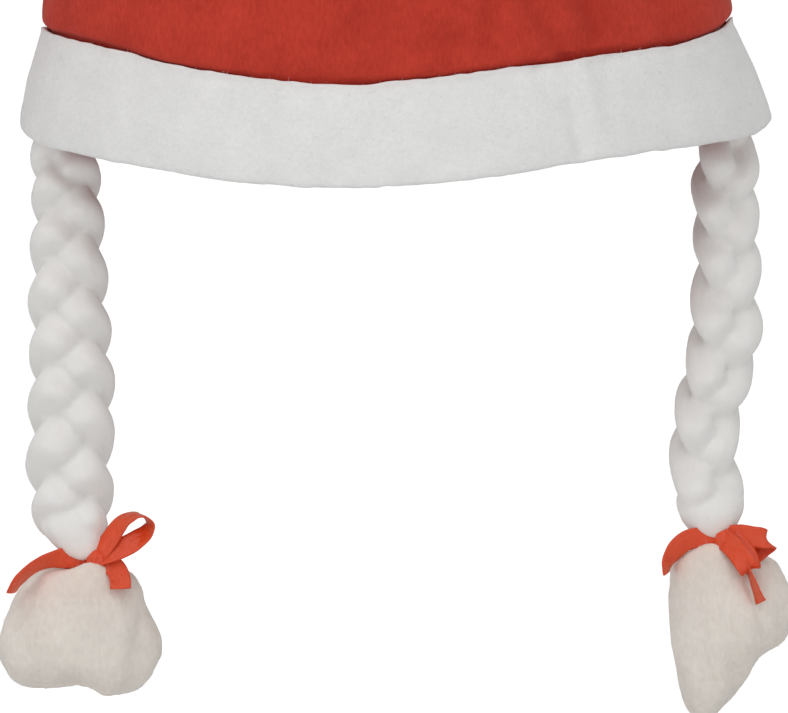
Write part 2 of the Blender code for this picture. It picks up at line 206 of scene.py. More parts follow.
def near_path(points: np.ndarray, path: Table) -> np.ndarray:
    """How far points are from a path of straight runs, all in the same units.

    Args:
        points: the points, ending in as many coordinates as the path has.
        path: the path's corners.

    Returns:
        One distance for each point.
    """
    best = np.full(points.shape[:-1], np.inf)
    for start, end in zip(np.array(path, float), np.array(path[1:], float)):
        run = end - start
        share = np.clip(((points - start) @ run) / max(run @ run, TINY), 0, 1)
        best = np.minimum(best, np.linalg.norm(points - (start + share[..., None] * run), axis=-1))
    return best


def placed(name: str, data: bpy.types.ID) -> Piece:
    """Makes an object and links it to the scene.

    Args:
        name: its name.
        data: its mesh, light or camera.

    Returns:
        The new object.
    """
    obj = bpy.data.objects.new(name, data)
    bpy.context.scene.collection.objects.link(obj)
    return obj


def evaluated_mesh(obj: Piece) -> bpy.types.Mesh:
    """A plain mesh of an object as its modifiers leave it."""
    return bpy.data.meshes.new_from_object(obj.evaluated_get(bpy.context.evaluated_depsgraph_get()))


@dataclass
class GridMesh:
    """A surface made of rings of points, with what its finish and its fibres read from it.

    Attributes:
        grid: rings by points by three, in metres.
        loop: whether the last ring meets the first.
        cap_start: whether a point closes the first ring.
        cap_end: whether a point closes the last ring.
        turned: whether the faces are turned over.
        tint: a value from 0 to 1 at each point, which the finish may colour by.
        stretch: how many times longer than wide the finish's streaks are.
        least_girth: how wide its streaks' pattern is at least, as a share of its widest place.
    """

    grid: np.ndarray
    loop: bool = False
    cap_start: bool = False
    cap_end: bool = False
    turned: bool = False
    tint: np.ndarray | None = None
    stretch: float = 9.0
    least_girth: float = 0.6

    def reach(self) -> np.ndarray:
        """The distance of each ring along the surface, in metres."""
        steps = np.linalg.norm(np.diff(self.grid.mean(axis=1), axis=0), axis=1)
        return np.concatenate([[0.0], np.cumsum(steps)])

    def fibre_at(self) -> np.ndarray:
        """A place for each point in which streaks along the rings' path are drawn without a seam."""
        turn = turns(self.grid.shape[1])
        middle = self.grid.mean(axis=1, keepdims=True)
        girth = np.linalg.norm(self.grid - middle, axis=-1).mean(axis=1)
        girth = np.maximum(girth, self.least_girth * girth.max())[:, None]
        return stacked(girth * np.cos(turn), girth * np.sin(turn), self.reach()[:, None] / self.stretch)

    def object(self, name: str) -> Piece:
        """Builds the mesh and links it.

        Args:
            name: the piece's name.

        Returns:
            The new object.
        """
        rings, count = self.grid.shape[:2]
        index = np.arange(rings * count).reshape(rings, count)
        low, high = (index, np.roll(index, -1, 0)) if self.loop else (index[:-1], index[1:])
        quads = np.stack([low, np.roll(low, -1, 1), np.roll(high, -1, 1), high], axis=-1).reshape(-1, 4)
        faces = [tuple(q) for q in quads.tolist()]
        points, flow = self.grid.reshape(-1, 3), self.flow().reshape(-1, 3)
        places = self.fibre_at().reshape(-1, 3)
        tint = np.zeros(len(points)) if self.tint is None else self.tint.reshape(-1)
        for wanted, ring, order in ((self.cap_start, 0, -1), (self.cap_end, rings - 1, 1)):
            if wanted:
                centre = len(points)
                points = np.vstack([points, self.grid[ring].mean(axis=0)])
                flow = np.vstack([flow, flow[index[ring, 0]]])
                places = np.vstack([places, places[index[ring]].mean(axis=0)])
                tint = np.append(tint, tint[index[ring]].mean())
                pairs = zip(index[ring].tolist(), np.roll(index[ring], -1).tolist())
                faces += [(a, b, centre)[::order] for a, b in pairs]
        if self.turned:
            faces = [face[::-1] for face in faces]
        mesh = bpy.data.meshes.new(name)
        mesh.from_pydata(points.tolist(), [], faces)
        for value, rows in ((PointValue.FIBRE_AT, places), (PointValue.FLOW, flow), (PointValue.TINT, tint)):
            value.write(mesh, rows)
        mesh.shade_smooth()
        mesh.update()
        return placed(name, mesh)

    def flow(self) -> np.ndarray:
        """The unit direction along the rings' path at each point."""
        if self.loop:
            ahead = np.roll(self.grid, -1, 0) - np.roll(self.grid, 1, 0)
        else:
            ahead = np.gradient(self.grid, axis=0)
        return ahead / np.maximum(np.linalg.norm(ahead, axis=-1, keepdims=True), TINY)


def joined(name: str, objects: list[Piece]) -> Piece:
    """Makes one object of several, with their attributes.

    Args:
        name: the name of the result.
        objects: what is joined.

    Returns:
        The joined object.
    """
    with bpy.context.temp_override(active_object=objects[0], selected_editable_objects=objects):
        bpy.ops.object.join()
    objects[0].name = objects[0].data.name = name
    return objects[0]


SKIN_RELIEF: Table = ((0.6, 1.9, 81), (0.4, 1.1, 82))


def softened(obj: Piece, voxel: float, rounds: int, fuzz: float) -> Piece:
    """Melts a piece's closed shapes into one skin with soft valleys, as wadding has.

    Args:
        obj: the piece, whose attributes go over to the new skin.
        voxel: the skin's fineness, in metres.
        rounds: how many times it is smoothed.
        fuzz: how high its combed relief stands, in metres.

    Returns:
        The same piece with its new skin.
    """
    source = obj.data
    skin = obj.modifiers.new("skin", "REMESH")
    skin.mode, skin.voxel_size = "VOXEL", voxel
    calm = obj.modifiers.new("calm", "SMOOTH")
    calm.factor, calm.iterations = 0.5, rounds
    mesh = evaluated_mesh(obj)
    obj.modifiers.clear()
    near = KDTree(len(source.vertices))
    for number, vertex in enumerate(source.vertices):
        near.insert(vertex.co, number)
    near.balance()
    found = np.array([near.find(vertex.co)[1] for vertex in mesh.vertices])
    for value in PointValue:
        value.write(mesh, value.read(source)[found])
    points, normals = (np.empty(len(mesh.vertices) * 3, np.float32) for _ in range(2))
    mesh.vertices.foreach_get("co", points)
    mesh.vertex_normals.foreach_get("vector", normals)
    combed = relief(PointValue.FIBRE_AT.read(mesh).astype(float), SKIN_RELIEF)
    points = points.reshape(-1, 3) + normals.reshape(-1, 3) * (combed * fuzz)[:, None]
    mesh.vertices.foreach_set("co", points.astype(np.float32).ravel())
    mesh.name = obj.name
    mesh.shade_smooth()
    mesh.update()
    obj.data = mesh
    return obj


# Finishes


def link(tree: Tree, source: Socket, target: Socket) -> None:
    """Links two sockets of a tree."""
    tree.links.new(source, target)


def set_inputs(tree: Tree, inputs: bpy.types.NodeInputs, values: dict[str | int, Value]) -> None:
    """Gives a node's inputs their numbers, colours or links.

    Args:
        tree: the node's tree.
        inputs: the node's inputs.
        values: what each input gets, by its name or its number.
    """
    for key, value in values.items():
        slot = inputs[key]
        if isinstance(value, bpy.types.NodeSocket):
            link(tree, value, slot)
        else:
            slot.default_value = (*value, 1.0) if slot.type == "RGBA" else value


def math_node(tree: Tree, operation: str, *values: float | Socket) -> Socket:
    """Adds a Math node.

    Args:
        tree: where it goes.
        operation: its operation.
        values: numbers or sockets for its inputs.

    Returns:
        Its output.
    """
    node = tree.nodes.new("ShaderNodeMath")
    node.operation = operation
    set_inputs(tree, node.inputs, dict(enumerate(values)))
    return node.outputs[0]


def sum_of(tree: Tree, *parts: tuple[Socket, float]) -> Socket:
    """Adds two values, each times its share."""
    return math_node(tree, "ADD", *(math_node(tree, "MULTIPLY", value, share) for value, share in parts))


def noise_node(tree: Tree, vector: Socket, scale: float | Socket, detail: float) -> Socket:
    """Adds a Noise Texture node and returns its value.

    Args:
        tree: where it goes.
        vector: where the pattern is read.
        scale: bumps in a metre.
        detail: how many finer layers it has.

    Returns:
        The value, round 0.5.
    """
    node = tree.nodes.new("ShaderNodeTexNoise")
    set_inputs(tree, node.inputs, {"Vector": vector, "Scale": scale, "Detail": detail, "Roughness": 0.6})
    return node.outputs["Fac"]


def mixed_colour(tree: Tree, share: Socket, first: Colour | Socket, second: Colour) -> Socket:
    """Mixes two colours.

    Args:
        tree: where the node goes.
        share: how much of the second there is.
        first: the first colour, or a socket that gives it.
        second: the second colour.

    Returns:
        The mixed colour.
    """
    node = tree.nodes.new("ShaderNodeMix")
    node.data_type = "RGBA"
    set_inputs(tree, node.inputs, {0: share, 6: first, 7: second})
    return node.outputs[2]


def ranged(tree: Tree, value: Socket, low: float, high: float) -> Socket:
    """Stretches a value and keeps it between 0 and 1.

    Args:
        tree: where the node goes.
        value: the value.
        low: what becomes 0.
        high: what becomes 1.

    Returns:
        The stretched value.
    """
    node = tree.nodes.new("ShaderNodeMapRange")
    set_inputs(tree, node.inputs, {"Value": value, "From Min": low, "From Max": high})
    return node.outputs["Result"]


def bumped(tree: Tree, height: Socket, depth: float, under: Socket | None = None) -> Socket:
    """Adds a Bump node.

    Args:
        tree: where it goes.
        height: the pattern's height.
        depth: how deep it is, in metres.
        under: the normal of a bump that lies under it.

    Returns:
        The normal.
    """
    node = tree.nodes.new("ShaderNodeBump")
    set_inputs(tree, node.inputs, {"Distance": depth, "Height": height})
    if under is not None:
        link(tree, under, node.inputs["Normal"])
    return node.outputs["Normal"]


def point_value(tree: Tree, value: PointValue, output: str) -> Socket:
    """Reads what a mesh says at each point.

    Args:
        tree: where the node goes.
        value: which of the values is read.
        output: the node's output, by its name.

    Returns:
        That output.
    """
    node = tree.nodes.new("ShaderNodeAttribute")
    node.attribute_name = value.value[0]
    return node.outputs[output]


def object_place(tree: Tree) -> Socket:
    """The place of each point in its object, in metres."""
    return tree.nodes.new("ShaderNodeTexCoord").outputs["Object"]


def seen_by_camera(tree: Tree) -> Socket:
    """1 where the camera itself looks, 0 for light that bounces."""
    return tree.nodes.new("ShaderNodeLightPath").outputs["Is Camera Ray"]


def blank_material(name: str) -> tuple[Material, Tree, bpy.types.NodeInputs]:
    """Makes a material.

    Args:
        name: its name.

    Returns:
        The material, its tree and the inputs of its shader.
    """
    material = bpy.data.materials.new(name)
    material.use_nodes = True
    tree = material.node_tree
    return material, tree, tree.nodes["Principled BSDF"].inputs


class PatternGroup:
    """A node group that draws one pattern for more than one finish.

    Attributes:
        name: the group's name.
        inputs: the names and kinds of its inputs.
    """

    name = "pattern"
    inputs = (("Vector", "NodeSocketVector"), ("Scale", "NodeSocketFloat"), ("Stretch", "NodeSocketFloat"))

    def tree(self) -> Tree:
        """The group, made once."""
        found = bpy.data.node_groups.get(self.name)
        if found is None:
            found = bpy.data.node_groups.new(self.name, "ShaderNodeTree")
            for name, kind in self.inputs:
                found.interface.new_socket(name, in_out="INPUT", socket_type=kind)
            for name in ("Mask", "Height"):
                found.interface.new_socket(name, in_out="OUTPUT", socket_type="NodeSocketFloat")
            given = found.nodes.new("NodeGroupInput").outputs
            self.draw(found, given, found.nodes.new("NodeGroupOutput").inputs)
        return found

    def draw(self, tree: Tree, given: bpy.types.NodeOutputs, results: bpy.types.NodeInputs) -> None:
        """Fills the group.

        Args:
            tree: the group's tree.
            given: the group's inputs, as they come in.
            results: where its outputs go.
        """
        raise NotImplementedError

    def stretched(self, tree: Tree, given: bpy.types.NodeOutputs) -> Socket:
        """Draws the pattern out along its third direction.

        Args:
            tree: the group's tree.
            given: the group's inputs, as they come in.

        Returns:
            The place at which the pattern is read.
        """
        shape = tree.nodes.new("ShaderNodeCombineXYZ")
        set_inputs(tree, shape.inputs, {0: 1.0, 1: 1.0, 2: math_node(tree, "DIVIDE", 1.0, given["Stretch"])})
        product = tree.nodes.new("ShaderNodeVectorMath")
        product.operation = "MULTIPLY"
        set_inputs(tree, product.inputs, {0: given["Vector"], 1: shape.outputs[0]})
        return product.outputs[0]

    def place(self, tree: Tree, vector: Socket, scale: float, stretch: float) -> bpy.types.NodeOutputs:
        """Puts the group in a material.

        Args:
            tree: the material's tree.
            vector: where the pattern is read.
            scale: bumps in a metre.
            stretch: how many times longer than wide they are.

        Returns:
            The group's outputs, Mask and Height.
        """
        node = tree.nodes.new("ShaderNodeGroup")
        node.node_tree = self.tree()
        set_inputs(tree, node.inputs, {"Vector": vector, "Scale": scale, "Stretch": stretch})
        return node.outputs


class NapPattern(PatternGroup):
    """Matted short fibres: cloudy patches and a grain at two scales.

    Attributes:
        name: the group's name.
        cloud_scale: the clouds' scale, as a share of the grain's.
        fine_scale: the finer grain's scale, as a share of the same.
    """

    name = "matted_nap"
    cloud_scale = 0.09
    fine_scale = 3.1

    def draw(self, tree: Tree, given: bpy.types.NodeOutputs, results: bpy.types.NodeInputs) -> None:
        """Fills the group with clouds and grain.

        Args:
            tree: the group's tree.
            given: the group's inputs, as they come in.
            results: where its outputs go.
        """
        place = self.stretched(tree, given)
        scale = given["Scale"]
        clouds = noise_node(tree, given["Vector"], math_node(tree, "MULTIPLY", scale, self.cloud_scale), 3.0)
        grain = noise_node(tree, place, scale, 4.0)
        fine = noise_node(tree, place, math_node(tree, "MULTIPLY", scale, self.fine_scale), 2.0)
        link(tree, sum_of(tree, (clouds, 0.45), (grain, 0.55)), results["Mask"])
        link(tree, sum_of(tree, (grain, 0.7), (fine, 0.3)), results["Height"])


class StreakPattern(PatternGroup):
    """Combed fibres: long streaks with finer ones in them.

    Attributes:
        name: the group's name.
        broad_scale: the long streaks' scale, as a share of the finer ones'.
    """

    name = "combed_fibres"
    broad_scale = 0.35

    def draw(self, tree: Tree, given: bpy.types.NodeOutputs, results: bpy.types.NodeInputs) -> None:
        """Fills the group with streaks at two widths.

        Args:
            tree: the group's tree.
            given: the group's inputs, as they come in.
            results: where its outputs go.
        """
        place = self.stretched(tree, given)
        scale = given["Scale"]
        broad = noise_node(tree, place, math_node(tree, "MULTIPLY", scale, self.broad_scale), 2.0)
        fine = noise_node(tree, place, scale, 3.0)
        link(tree, sum_of(tree, (broad, 0.5), (fine, 0.5)), results["Mask"])
        link(tree, sum_of(tree, (broad, 0.45), (fine, 0.55)), results["Height"])


@dataclass(frozen=True)
class Finish:
    """A soft finish: two colours mixed by a pattern, a third by the piece's tint, and a relief.

    Attributes:
        name: the material's name.
        pattern: the pattern group that it is drawn with.
        light: the colour on the pattern's high places.
        dark: the colour in its low places.
        tinting: the colour where the piece's tint is 1: painted shade on the red felt, a pink tint on the
            white pieces.
        grain: the pattern's size, in metres.
        stretch: how many times longer than wide the grain is.
        relief: the bump's depth, in metres.
        roughness: the roughness.
        sheen: the weight of the soft sheen.
        glow: how much light goes through the fibres.
        follows: whether the pattern follows the piece's own fibre direction.
        spread: how wide a part of the pattern's range the two colours share.
        shine: the weight of the hard reflection.
        sheen_width: how far the soft sheen spreads.
        glow_colour: how far red, green and blue light go through the fibres, compared with each other.
        glow_reach: how far red light goes through them, in metres.
    """

    name: str
    pattern: PatternGroup
    light: Colour
    dark: Colour
    tinting: Colour
    grain: float
    stretch: float
    relief: float
    roughness: float
    sheen: float
    glow: float = 0.0
    follows: bool = False
    spread: float = 0.16
    shine: float = 0.15
    sheen_width: float = 0.45
    glow_colour: Colour = (1.0, 0.9, 0.8)
    glow_reach: float = 2 * MM

    def material(self) -> Material:
        """The material, made once."""
        found = bpy.data.materials.get(self.name)
        if found is not None:
            return found
        found, tree, inputs = blank_material(self.name)
        where = point_value(tree, PointValue.FIBRE_AT, "Vector") if self.follows else object_place(tree)
        drawn = self.pattern.place(tree, where, 1 / self.grain, self.stretch)
        share = ranged(tree, drawn["Mask"], 0.5 - self.spread, 0.5 + self.spread)
        colour = mixed_colour(tree, share, self.dark, self.light)
        # The third colour goes where the piece's tint is: painted shade on the crown, a pink tint near the
        # red parts on the white pieces.
        set_inputs(tree, inputs, {
            "Base Color": mixed_colour(tree, point_value(tree, PointValue.TINT, "Fac"), colour, self.tinting),
            "Normal": bumped(tree, drawn["Height"], self.relief),
            "Roughness": self.roughness,
            "Specular IOR Level": self.shine,
            "Sheen Weight": self.sheen,
            "Sheen Roughness": self.sheen_width,
        })
        if self.glow:
            set_inputs(tree, inputs, {
                "Subsurface Weight": self.glow,
                "Subsurface Radius": self.glow_colour,
                "Subsurface Scale": self.glow_reach,
            })
        return found


# Its third colour, a darker red, is painted shade, laid where the crown's tint says: in creases and folds,
# inside the band and just above it.
RED_FELT = Finish(
    "red_felt_nap", NapPattern(), (0.60, 0.056, 0.033), (0.45, 0.036, 0.021), (0.34, 0.023, 0.014),
    grain=1.1 * MM, stretch=2.6, relief=0.35 * MM, roughness=0.95, sheen=0.10,
)
WHITE_FELT = Finish(
    "white_felt_plush", NapPattern(), (0.84, 0.84, 0.83), (0.76, 0.76, 0.755), (0.80, 0.70, 0.68),
    grain=1.3 * MM, stretch=1.0, relief=0.22 * MM, roughness=0.95, sheen=0.12,
)
PLAIT_FIBRE = Finish(
    "combed_roving", StreakPattern(), (0.88, 0.87, 0.85), (0.82, 0.805, 0.78), (0.88, 0.62, 0.55),
    grain=0.9 * MM, stretch=1.0, relief=0.05 * MM, roughness=0.9, sheen=0.10, glow=0.25,
    follows=True, spread=0.3,
)
TUFT_FIBRE = Finish(
    "loose_roving", NapPattern(), (0.86, 0.805, 0.74), (0.72, 0.668, 0.607), (0.84, 0.60, 0.51),
    grain=1.5 * MM, stretch=1.8, relief=0.16 * MM, roughness=0.9, sheen=0.10, glow=0.25, spread=0.2,
)
POMPOM_YARN = Finish(
    "pompom_yarn", NapPattern(), (0.86, 0.855, 0.84), (0.74, 0.735, 0.72), (0.80, 0.70, 0.68),
    grain=1.6 * MM, stretch=1.0, relief=0.3 * MM, roughness=0.9, sheen=0.12, glow=0.1,
)


@dataclass(frozen=True)
class SatinFinish:
    """Glossy woven ribbon with fine ribs across it.

    Attributes:
        name: the material's name.
        light: the colour of the ribs' and the crumples' tops, a painted highlight.
        dark: the colour between them, painted shade.
        rib: how far apart the ribs are, in metres.
        rib_scale: the Wave Texture's scale for ribs one metre apart.
        crumples: how many crumples there are in a metre.
        rib_depth: how deep the ribs are, in metres.
        crumple_depth: how deep the crumples are, in metres.
        smooth: the roughness on the crumples' low places.
        rough: how much rougher their high places are.
        sheen: the weight of the soft sheen.
        sheen_colour: its colour.
    """

    name: str = "red_satin_weave"
    light: Colour = (0.86, 0.085, 0.014)
    dark: Colour = (0.66, 0.045, 0.010)
    rib: float = 0.45 * MM
    rib_scale: float = 0.314
    crumples: float = 260.0
    rib_depth: float = 0.06 * MM
    crumple_depth: float = 0.9 * MM
    smooth: float = 0.22
    rough: float = 0.2
    sheen: float = 0.25
    sheen_colour: Colour = (1.0, 0.45, 0.2)

    def material(self) -> Material:
        """The material, made once."""
        found = bpy.data.materials.get(self.name)
        if found is not None:
            return found
        found, tree, inputs = blank_material(self.name)
        wave = tree.nodes.new("ShaderNodeTexWave")
        wave.bands_direction = "Z"
        set_inputs(tree, wave.inputs, {
            "Scale": self.rib_scale / self.rib,
            "Distortion": 0.6,
            "Vector": point_value(tree, PointValue.FIBRE_AT, "Vector"),
        })
        ribs = wave.outputs["Fac"]
        crumple = noise_node(tree, object_place(tree), self.crumples, 2.0)
        # Painted highlight and shade: the colour is lighter on the ribs' and crumples' high places and
        # darker in their low places.
        share = sum_of(tree, (ribs, 0.5), (crumple, 0.5))
        rough = math_node(tree, "ADD", math_node(tree, "MULTIPLY", crumple, self.rough), self.smooth)
        set_inputs(tree, inputs, {
            "Base Color": mixed_colour(tree, share, self.dark, self.light),
            "Roughness": rough,
            "Normal": bumped(tree, crumple, self.crumple_depth, bumped(tree, ribs, self.rib_depth)),
            "Sheen Weight": self.sheen,
            "Sheen Tint": self.sheen_colour,
        })
        return found


# Fibres that stand up from a surface


@dataclass(frozen=True)
class Nap:
    """Loose fibres over a surface, laid along its flow by a node tree.

    Attributes:
        count: how many fibres there are.
        length: a fibre's length, in metres.
        radius: its radius at the root, in metres.
        lift: 0 for fibres that lie flat, 1 for fibres that stand up.
        stray: how far their directions spread.
        bend: how far a fibre bows, as a share of its length.
        segments: how many lengths each fibre has.
        seed: picks the pattern.
        tip_thinning: how much thinner a fibre's tip is than its root, as a share.
        shortest: the shortest fibre's length, as a share of the longest.
    """

    count: int
    length: float
    radius: float
    lift: float
    stray: float
    bend: float = 0.25
    segments: int = 2
    seed: int = 1
    tip_thinning: ClassVar[float] = 0.8
    shortest: ClassVar[float] = 0.45

    def tree(self) -> tuple[Tree, dict[str, str]]:
        """Builds the node tree once.

        Returns:
            The tree, and the identifier of each input by its name.
        """
        tree = bpy.data.node_groups.get("loose_fibres")
        if tree is None:
            tree = bpy.data.node_groups.new("loose_fibres", "GeometryNodeTree")
            face = tree.interface
            face.new_socket("Surface", in_out="INPUT", socket_type="NodeSocketGeometry")
            for name in ("Density", "Length", "Radius", "Lift", "Stray", "Bend"):
                face.new_socket(name, in_out="INPUT", socket_type="NodeSocketFloat")
            for name in ("Segments", "Seed"):
                face.new_socket(name, in_out="INPUT", socket_type="NodeSocketInt")
            face.new_socket("Finish", in_out="INPUT", socket_type="NodeSocketMaterial")
            face.new_socket("Fibres", in_out="OUTPUT", socket_type="NodeSocketGeometry")
            self.draw(tree)
        names = {s.name: s.identifier for s in tree.interface.items_tree if s.in_out == "INPUT"}
        return tree, names

    def draw(self, tree: Tree) -> None:
        """Fills the tree: a tapered bowed fibre on each scattered point.

        Args:
            tree: the tree.
        """
        given = tree.nodes.new("NodeGroupInput").outputs

        def add(kind: str, inputs: dict[str | int, Value], **settings: str) -> bpy.types.NodeOutputs:
            """Adds a node with its settings and inputs, and returns its outputs."""
            node = tree.nodes.new(kind)
            for key, value in settings.items():
                setattr(node, key, value)
            set_inputs(tree, node.inputs, inputs)
            return node.outputs

        def times(vector: Socket, scale: Socket) -> Socket:
            """Makes a vector longer or shorter."""
            return add("ShaderNodeVectorMath", {0: vector, 3: scale}, operation="SCALE")[0]

        def plus(first: Socket, second: Socket) -> Socket:
            """Adds two vectors."""
            return add("ShaderNodeVectorMath", {0: first, 1: second}, operation="ADD")[0]

        middle = add("ShaderNodeCombineXYZ", {0: given["Bend"], 2: 0.5})
        bow = add("GeometryNodeCurveQuadraticBezier", {
            "Start": (0, 0, 0), "Middle": middle[0], "End": (0, 0, 1), "Resolution": given["Segments"],
        })
        ring = add("GeometryNodeCurvePrimitiveCircle", {"Resolution": 3, "Radius": given["Radius"]})
        share = add("GeometryNodeSplineParameter", {})["Factor"]
        taper = math_node(tree, "SUBTRACT", 1.0, math_node(tree, "MULTIPLY", share, self.tip_thinning))
        fibre = add("GeometryNodeCurveToMesh", {
            "Curve": bow[0], "Profile Curve": ring[0], "Scale": taper, "Fill Caps": True,
        })
        scatter = add("GeometryNodeDistributePointsOnFaces", {
            "Mesh": given["Surface"], "Density": given["Density"], "Seed": given["Seed"],
        })
        flow = add("GeometryNodeInputNamedAttribute", {"Name": "flow"}, data_type="FLOAT_VECTOR")
        loose = add("FunctionNodeRandomValue", {
            0: (-1, -1, -1), 1: (1, 1, 1), "Seed": given["Seed"],
        }, data_type="FLOAT_VECTOR")
        flat = times(flow[0], math_node(tree, "SUBTRACT", 1.0, given["Lift"]))
        risen = times(scatter["Normal"], given["Lift"])
        strayed = times(loose[0], given["Stray"])
        way = add("ShaderNodeVectorMath", {0: plus(plus(flat, risen), strayed)}, operation="NORMALIZE")
        aim = add("FunctionNodeAlignRotationToVector", {"Vector": way[0]}, axis="Z")
        turn = add("FunctionNodeRandomValue", {3: 2 * math.pi, "Seed": given["Seed"]}, data_type="FLOAT")
        about = add("FunctionNodeAxisAngleToRotation", {"Axis": (0, 0, 1), "Angle": turn[1]})
        twist = add("FunctionNodeRotateRotation", {0: aim[0], 1: about[0]}, rotation_space="LOCAL")
        vary = add("FunctionNodeRandomValue", {2: self.shortest, 3: 1.0, "Seed": 7}, data_type="FLOAT")
        long = math_node(tree, "MULTIPLY", vary[1], given["Length"])
        size = add("ShaderNodeCombineXYZ", {0: 1.0, 1: 1.0, 2: long})
        place = add("GeometryNodeInstanceOnPoints", {
            "Points": scatter["Points"], "Instance": fibre[0], "Rotation": twist[0], "Scale": size[0],
        })
        real = add("GeometryNodeRealizeInstances", {0: place[0]})
        dress = add("GeometryNodeSetMaterial", {"Geometry": real[0], "Material": given["Finish"]})
        link(tree, dress[0], tree.nodes.new("NodeGroupOutput").inputs[0])

    def over(self, base: Piece, name: str, material: Material) -> Piece:
        """Makes the fibres over a surface.

        Args:
            base: the object whose surface carries them.
            name: the new piece's name.
            material: its finish.

        Returns:
            The fibres as one plain mesh.
        """
        tree, names = self.tree()
        carrier = placed(base.name + "_carrier", base.data.copy())
        area = sum(face.area for face in carrier.data.polygons)
        nap = carrier.modifiers.new("nap", "NODES")
        nap.node_group = tree
        for key, value in (
            ("Density", self.count / area), ("Length", self.length), ("Radius", self.radius),
            ("Lift", self.lift), ("Stray", self.stray), ("Bend", self.bend * self.length),
            ("Segments", self.segments), ("Seed", self.seed), ("Finish", material),
        ):
            nap[names[key]] = value
        mesh = evaluated_mesh(carrier)
        bpy.data.objects.remove(carrier)
        mesh.name = name
        mesh.shade_smooth()
        return placed(name, mesh)


def dressed(obj: Piece, material: Material, slot: Slot, *nodes: str) -> None:
    """Gives a piece its finish and its body, and hides the part's nodes that it replaces.

    Args:
        obj: the piece.
        material: its finish.
        slot: the part's slot that the finish belongs to; not used.
        nodes: the nodes that it replaces.
    """
    if not obj.data.materials:
        obj.data.materials.append(material)
    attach(obj, "root")
    if nodes:
        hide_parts(*nodes)
    LOG.info("%s: %d faces", obj.name, len(obj.data.polygons))


# Crown and brim band


@dataclass(frozen=True)
class Fold:
    """A soft fold that the front shows, in mm.

    Attributes:
        path: x and z along it.
        depth: how deep it is, below 0 for a ridge.
        width: how wide it is.
    """

    path: Table
    depth: float
    width: float


@dataclass(frozen=True)
class HatForm:
    """The surface that the crown has and the band follows.

    Attributes:
        sections: centre x, centre z, tilt, half width, half depth and sag of each section, in mm
            and degrees.
        side_pinch: how far the sides are drawn to a fold at the rim.
        round_from: the section from which they are not.
        band_line: share of the half width and lift in mm of the line that the band's upper edge follows.
        band_top: the section at which that line is.
        corner_lift: how far the rim turns up at each side, in mm.
        corner_reach: how far in from the side it does, as a share of the half width.
        rim_lean: how much higher the rim is at the right end than in the middle, in mm.
        rim_wave: how far it rises halfway to the right and sinks halfway to the left, in mm.
    """

    sections: Table = (
        (0.0, 2.0, 0.0, 121.8, 68.5, 11.2),
        (-1.2, 17.0, 0.5, 117.4, 66.5, 12.2),
        (-2.4, 33.0, 1.0, 112.4, 64.2, 13.2),
        (-2.8, 39.0, 1.5, 115.0, 67.0, 13.2),
        (-4.6, 52.0, 4.0, 112.6, 67.5, 12.4),
        (-10.0, 76.0, 9.0, 104.5, 67.0, 10.2),
        (-20.0, 107.0, 17.0, 91.5, 66.0, 7.0),
        (-38.0, 141.0, 30.0, 75.0, 64.0, 3.0),
        (-67.0, 168.0, 52.0, 59.0, 60.0, 0.0),
        (-105.0, 178.0, 81.0, 48.0, 52.0, 0.0),
        (-142.0, 164.0, 112.0, 38.0, 42.0, 0.0),
        (-169.0, 134.0, 138.0, 27.0, 30.0, 0.0),
        (-184.0, 103.0, 155.0, 16.0, 18.0, 0.0),
        (-190.0, 84.0, 162.0, 6.0, 6.5, 0.0),
    )
    side_pinch: float = 1.3
    round_from: float = 7.0
    band_line: Table = (
        (-1.0, 0.4), (-0.96, 1.7), (-0.86, 1.2), (-0.66, -0.2), (-0.45, -1.3), (-0.25, -1.8), (0.0, -1.5),
        (0.2, -1.2), (0.4, -1.8), (0.6, -3.6), (0.75, -4.7), (0.87, -5.0), (0.94, -4.0), (1.0, -2.6),
    )
    band_top: float = 2.45
    corner_lift: float = 4.0
    corner_reach: float = 0.025
    rim_lean: float = 1.35
    rim_wave: float = 1.7

    def rim_lift(self, across: np.ndarray) -> np.ndarray:
        """How far the rim stands above its lowest level, in metres, less the sag."""
        corner = self.corner_lift * np.exp(-((1 - np.abs(across)) / self.corner_reach))
        return (self.rim_lean * across + self.rim_wave * np.sin(math.pi * across) + corner) * MM

    def points(
        self, places: np.ndarray, angles: np.ndarray, outwards: np.ndarray | float = 0.0,
    ) -> np.ndarray:
        """Points of the surface.

        Args:
            places: how far up, in sections from the first.
            angles: how far round from the right over the back.
            outwards: how far outside the surface, in metres.

        Returns:
            Places by angles by three.
        """
        places = places if places.ndim == 2 else places[:, None]
        rows = along(self.sections, places.ravel()).reshape(*places.shape, 6)
        centre_x, centre_z, tilt, half_width, half_depth, sag = (rows[..., k] for k in range(6))
        tilt = np.radians(tilt)
        low = np.clip(places / self.round_from, 0, 1)
        pinch = self.side_pinch + (1 - self.side_pinch) * low
        across, deep = np.cos(angles)[None], np.sin(angles)[None]
        width = (half_width * MM + outwards) * across
        depth = (half_depth * MM + outwards) * np.sign(deep) * np.abs(deep) ** pinch
        sagging = sag * MM * (across**2 + np.sin(math.pi / 2 * across) ** 2) / 2
        share, shift = np.array(self.band_line).T
        near_band = np.interp(places, (0.0, self.band_top, self.round_from), (0.0, 1.0, 0.0))
        lift = sagging + self.rim_lift(across) * (1 - low) + np.interp(across, share, shift) * MM * near_band
        x = centre_x * MM + np.cos(tilt) * width - np.sin(tilt) * lift
        z = centre_z * MM + np.sin(tilt) * width + np.cos(tilt) * lift
        return stacked(x, depth, z)


def front_folds(points: np.ndarray, folds: tuple[Fold, ...]) -> np.ndarray:
    """How far folds press the front of a surface in.

    Args:
        points: the surface's points, in metres.
        folds: the folds.

    Returns:
        One depth for each point, in metres.
    """
    total = np.zeros(points.shape[:-1])
    for fold in folds:
        gap = near_path(points[..., [0, 2]] / MM, fold.path)
        total += fold.depth * MM * np.exp(-((gap / fold.width) ** 2)) * (points[..., 1] < 0)
    return total


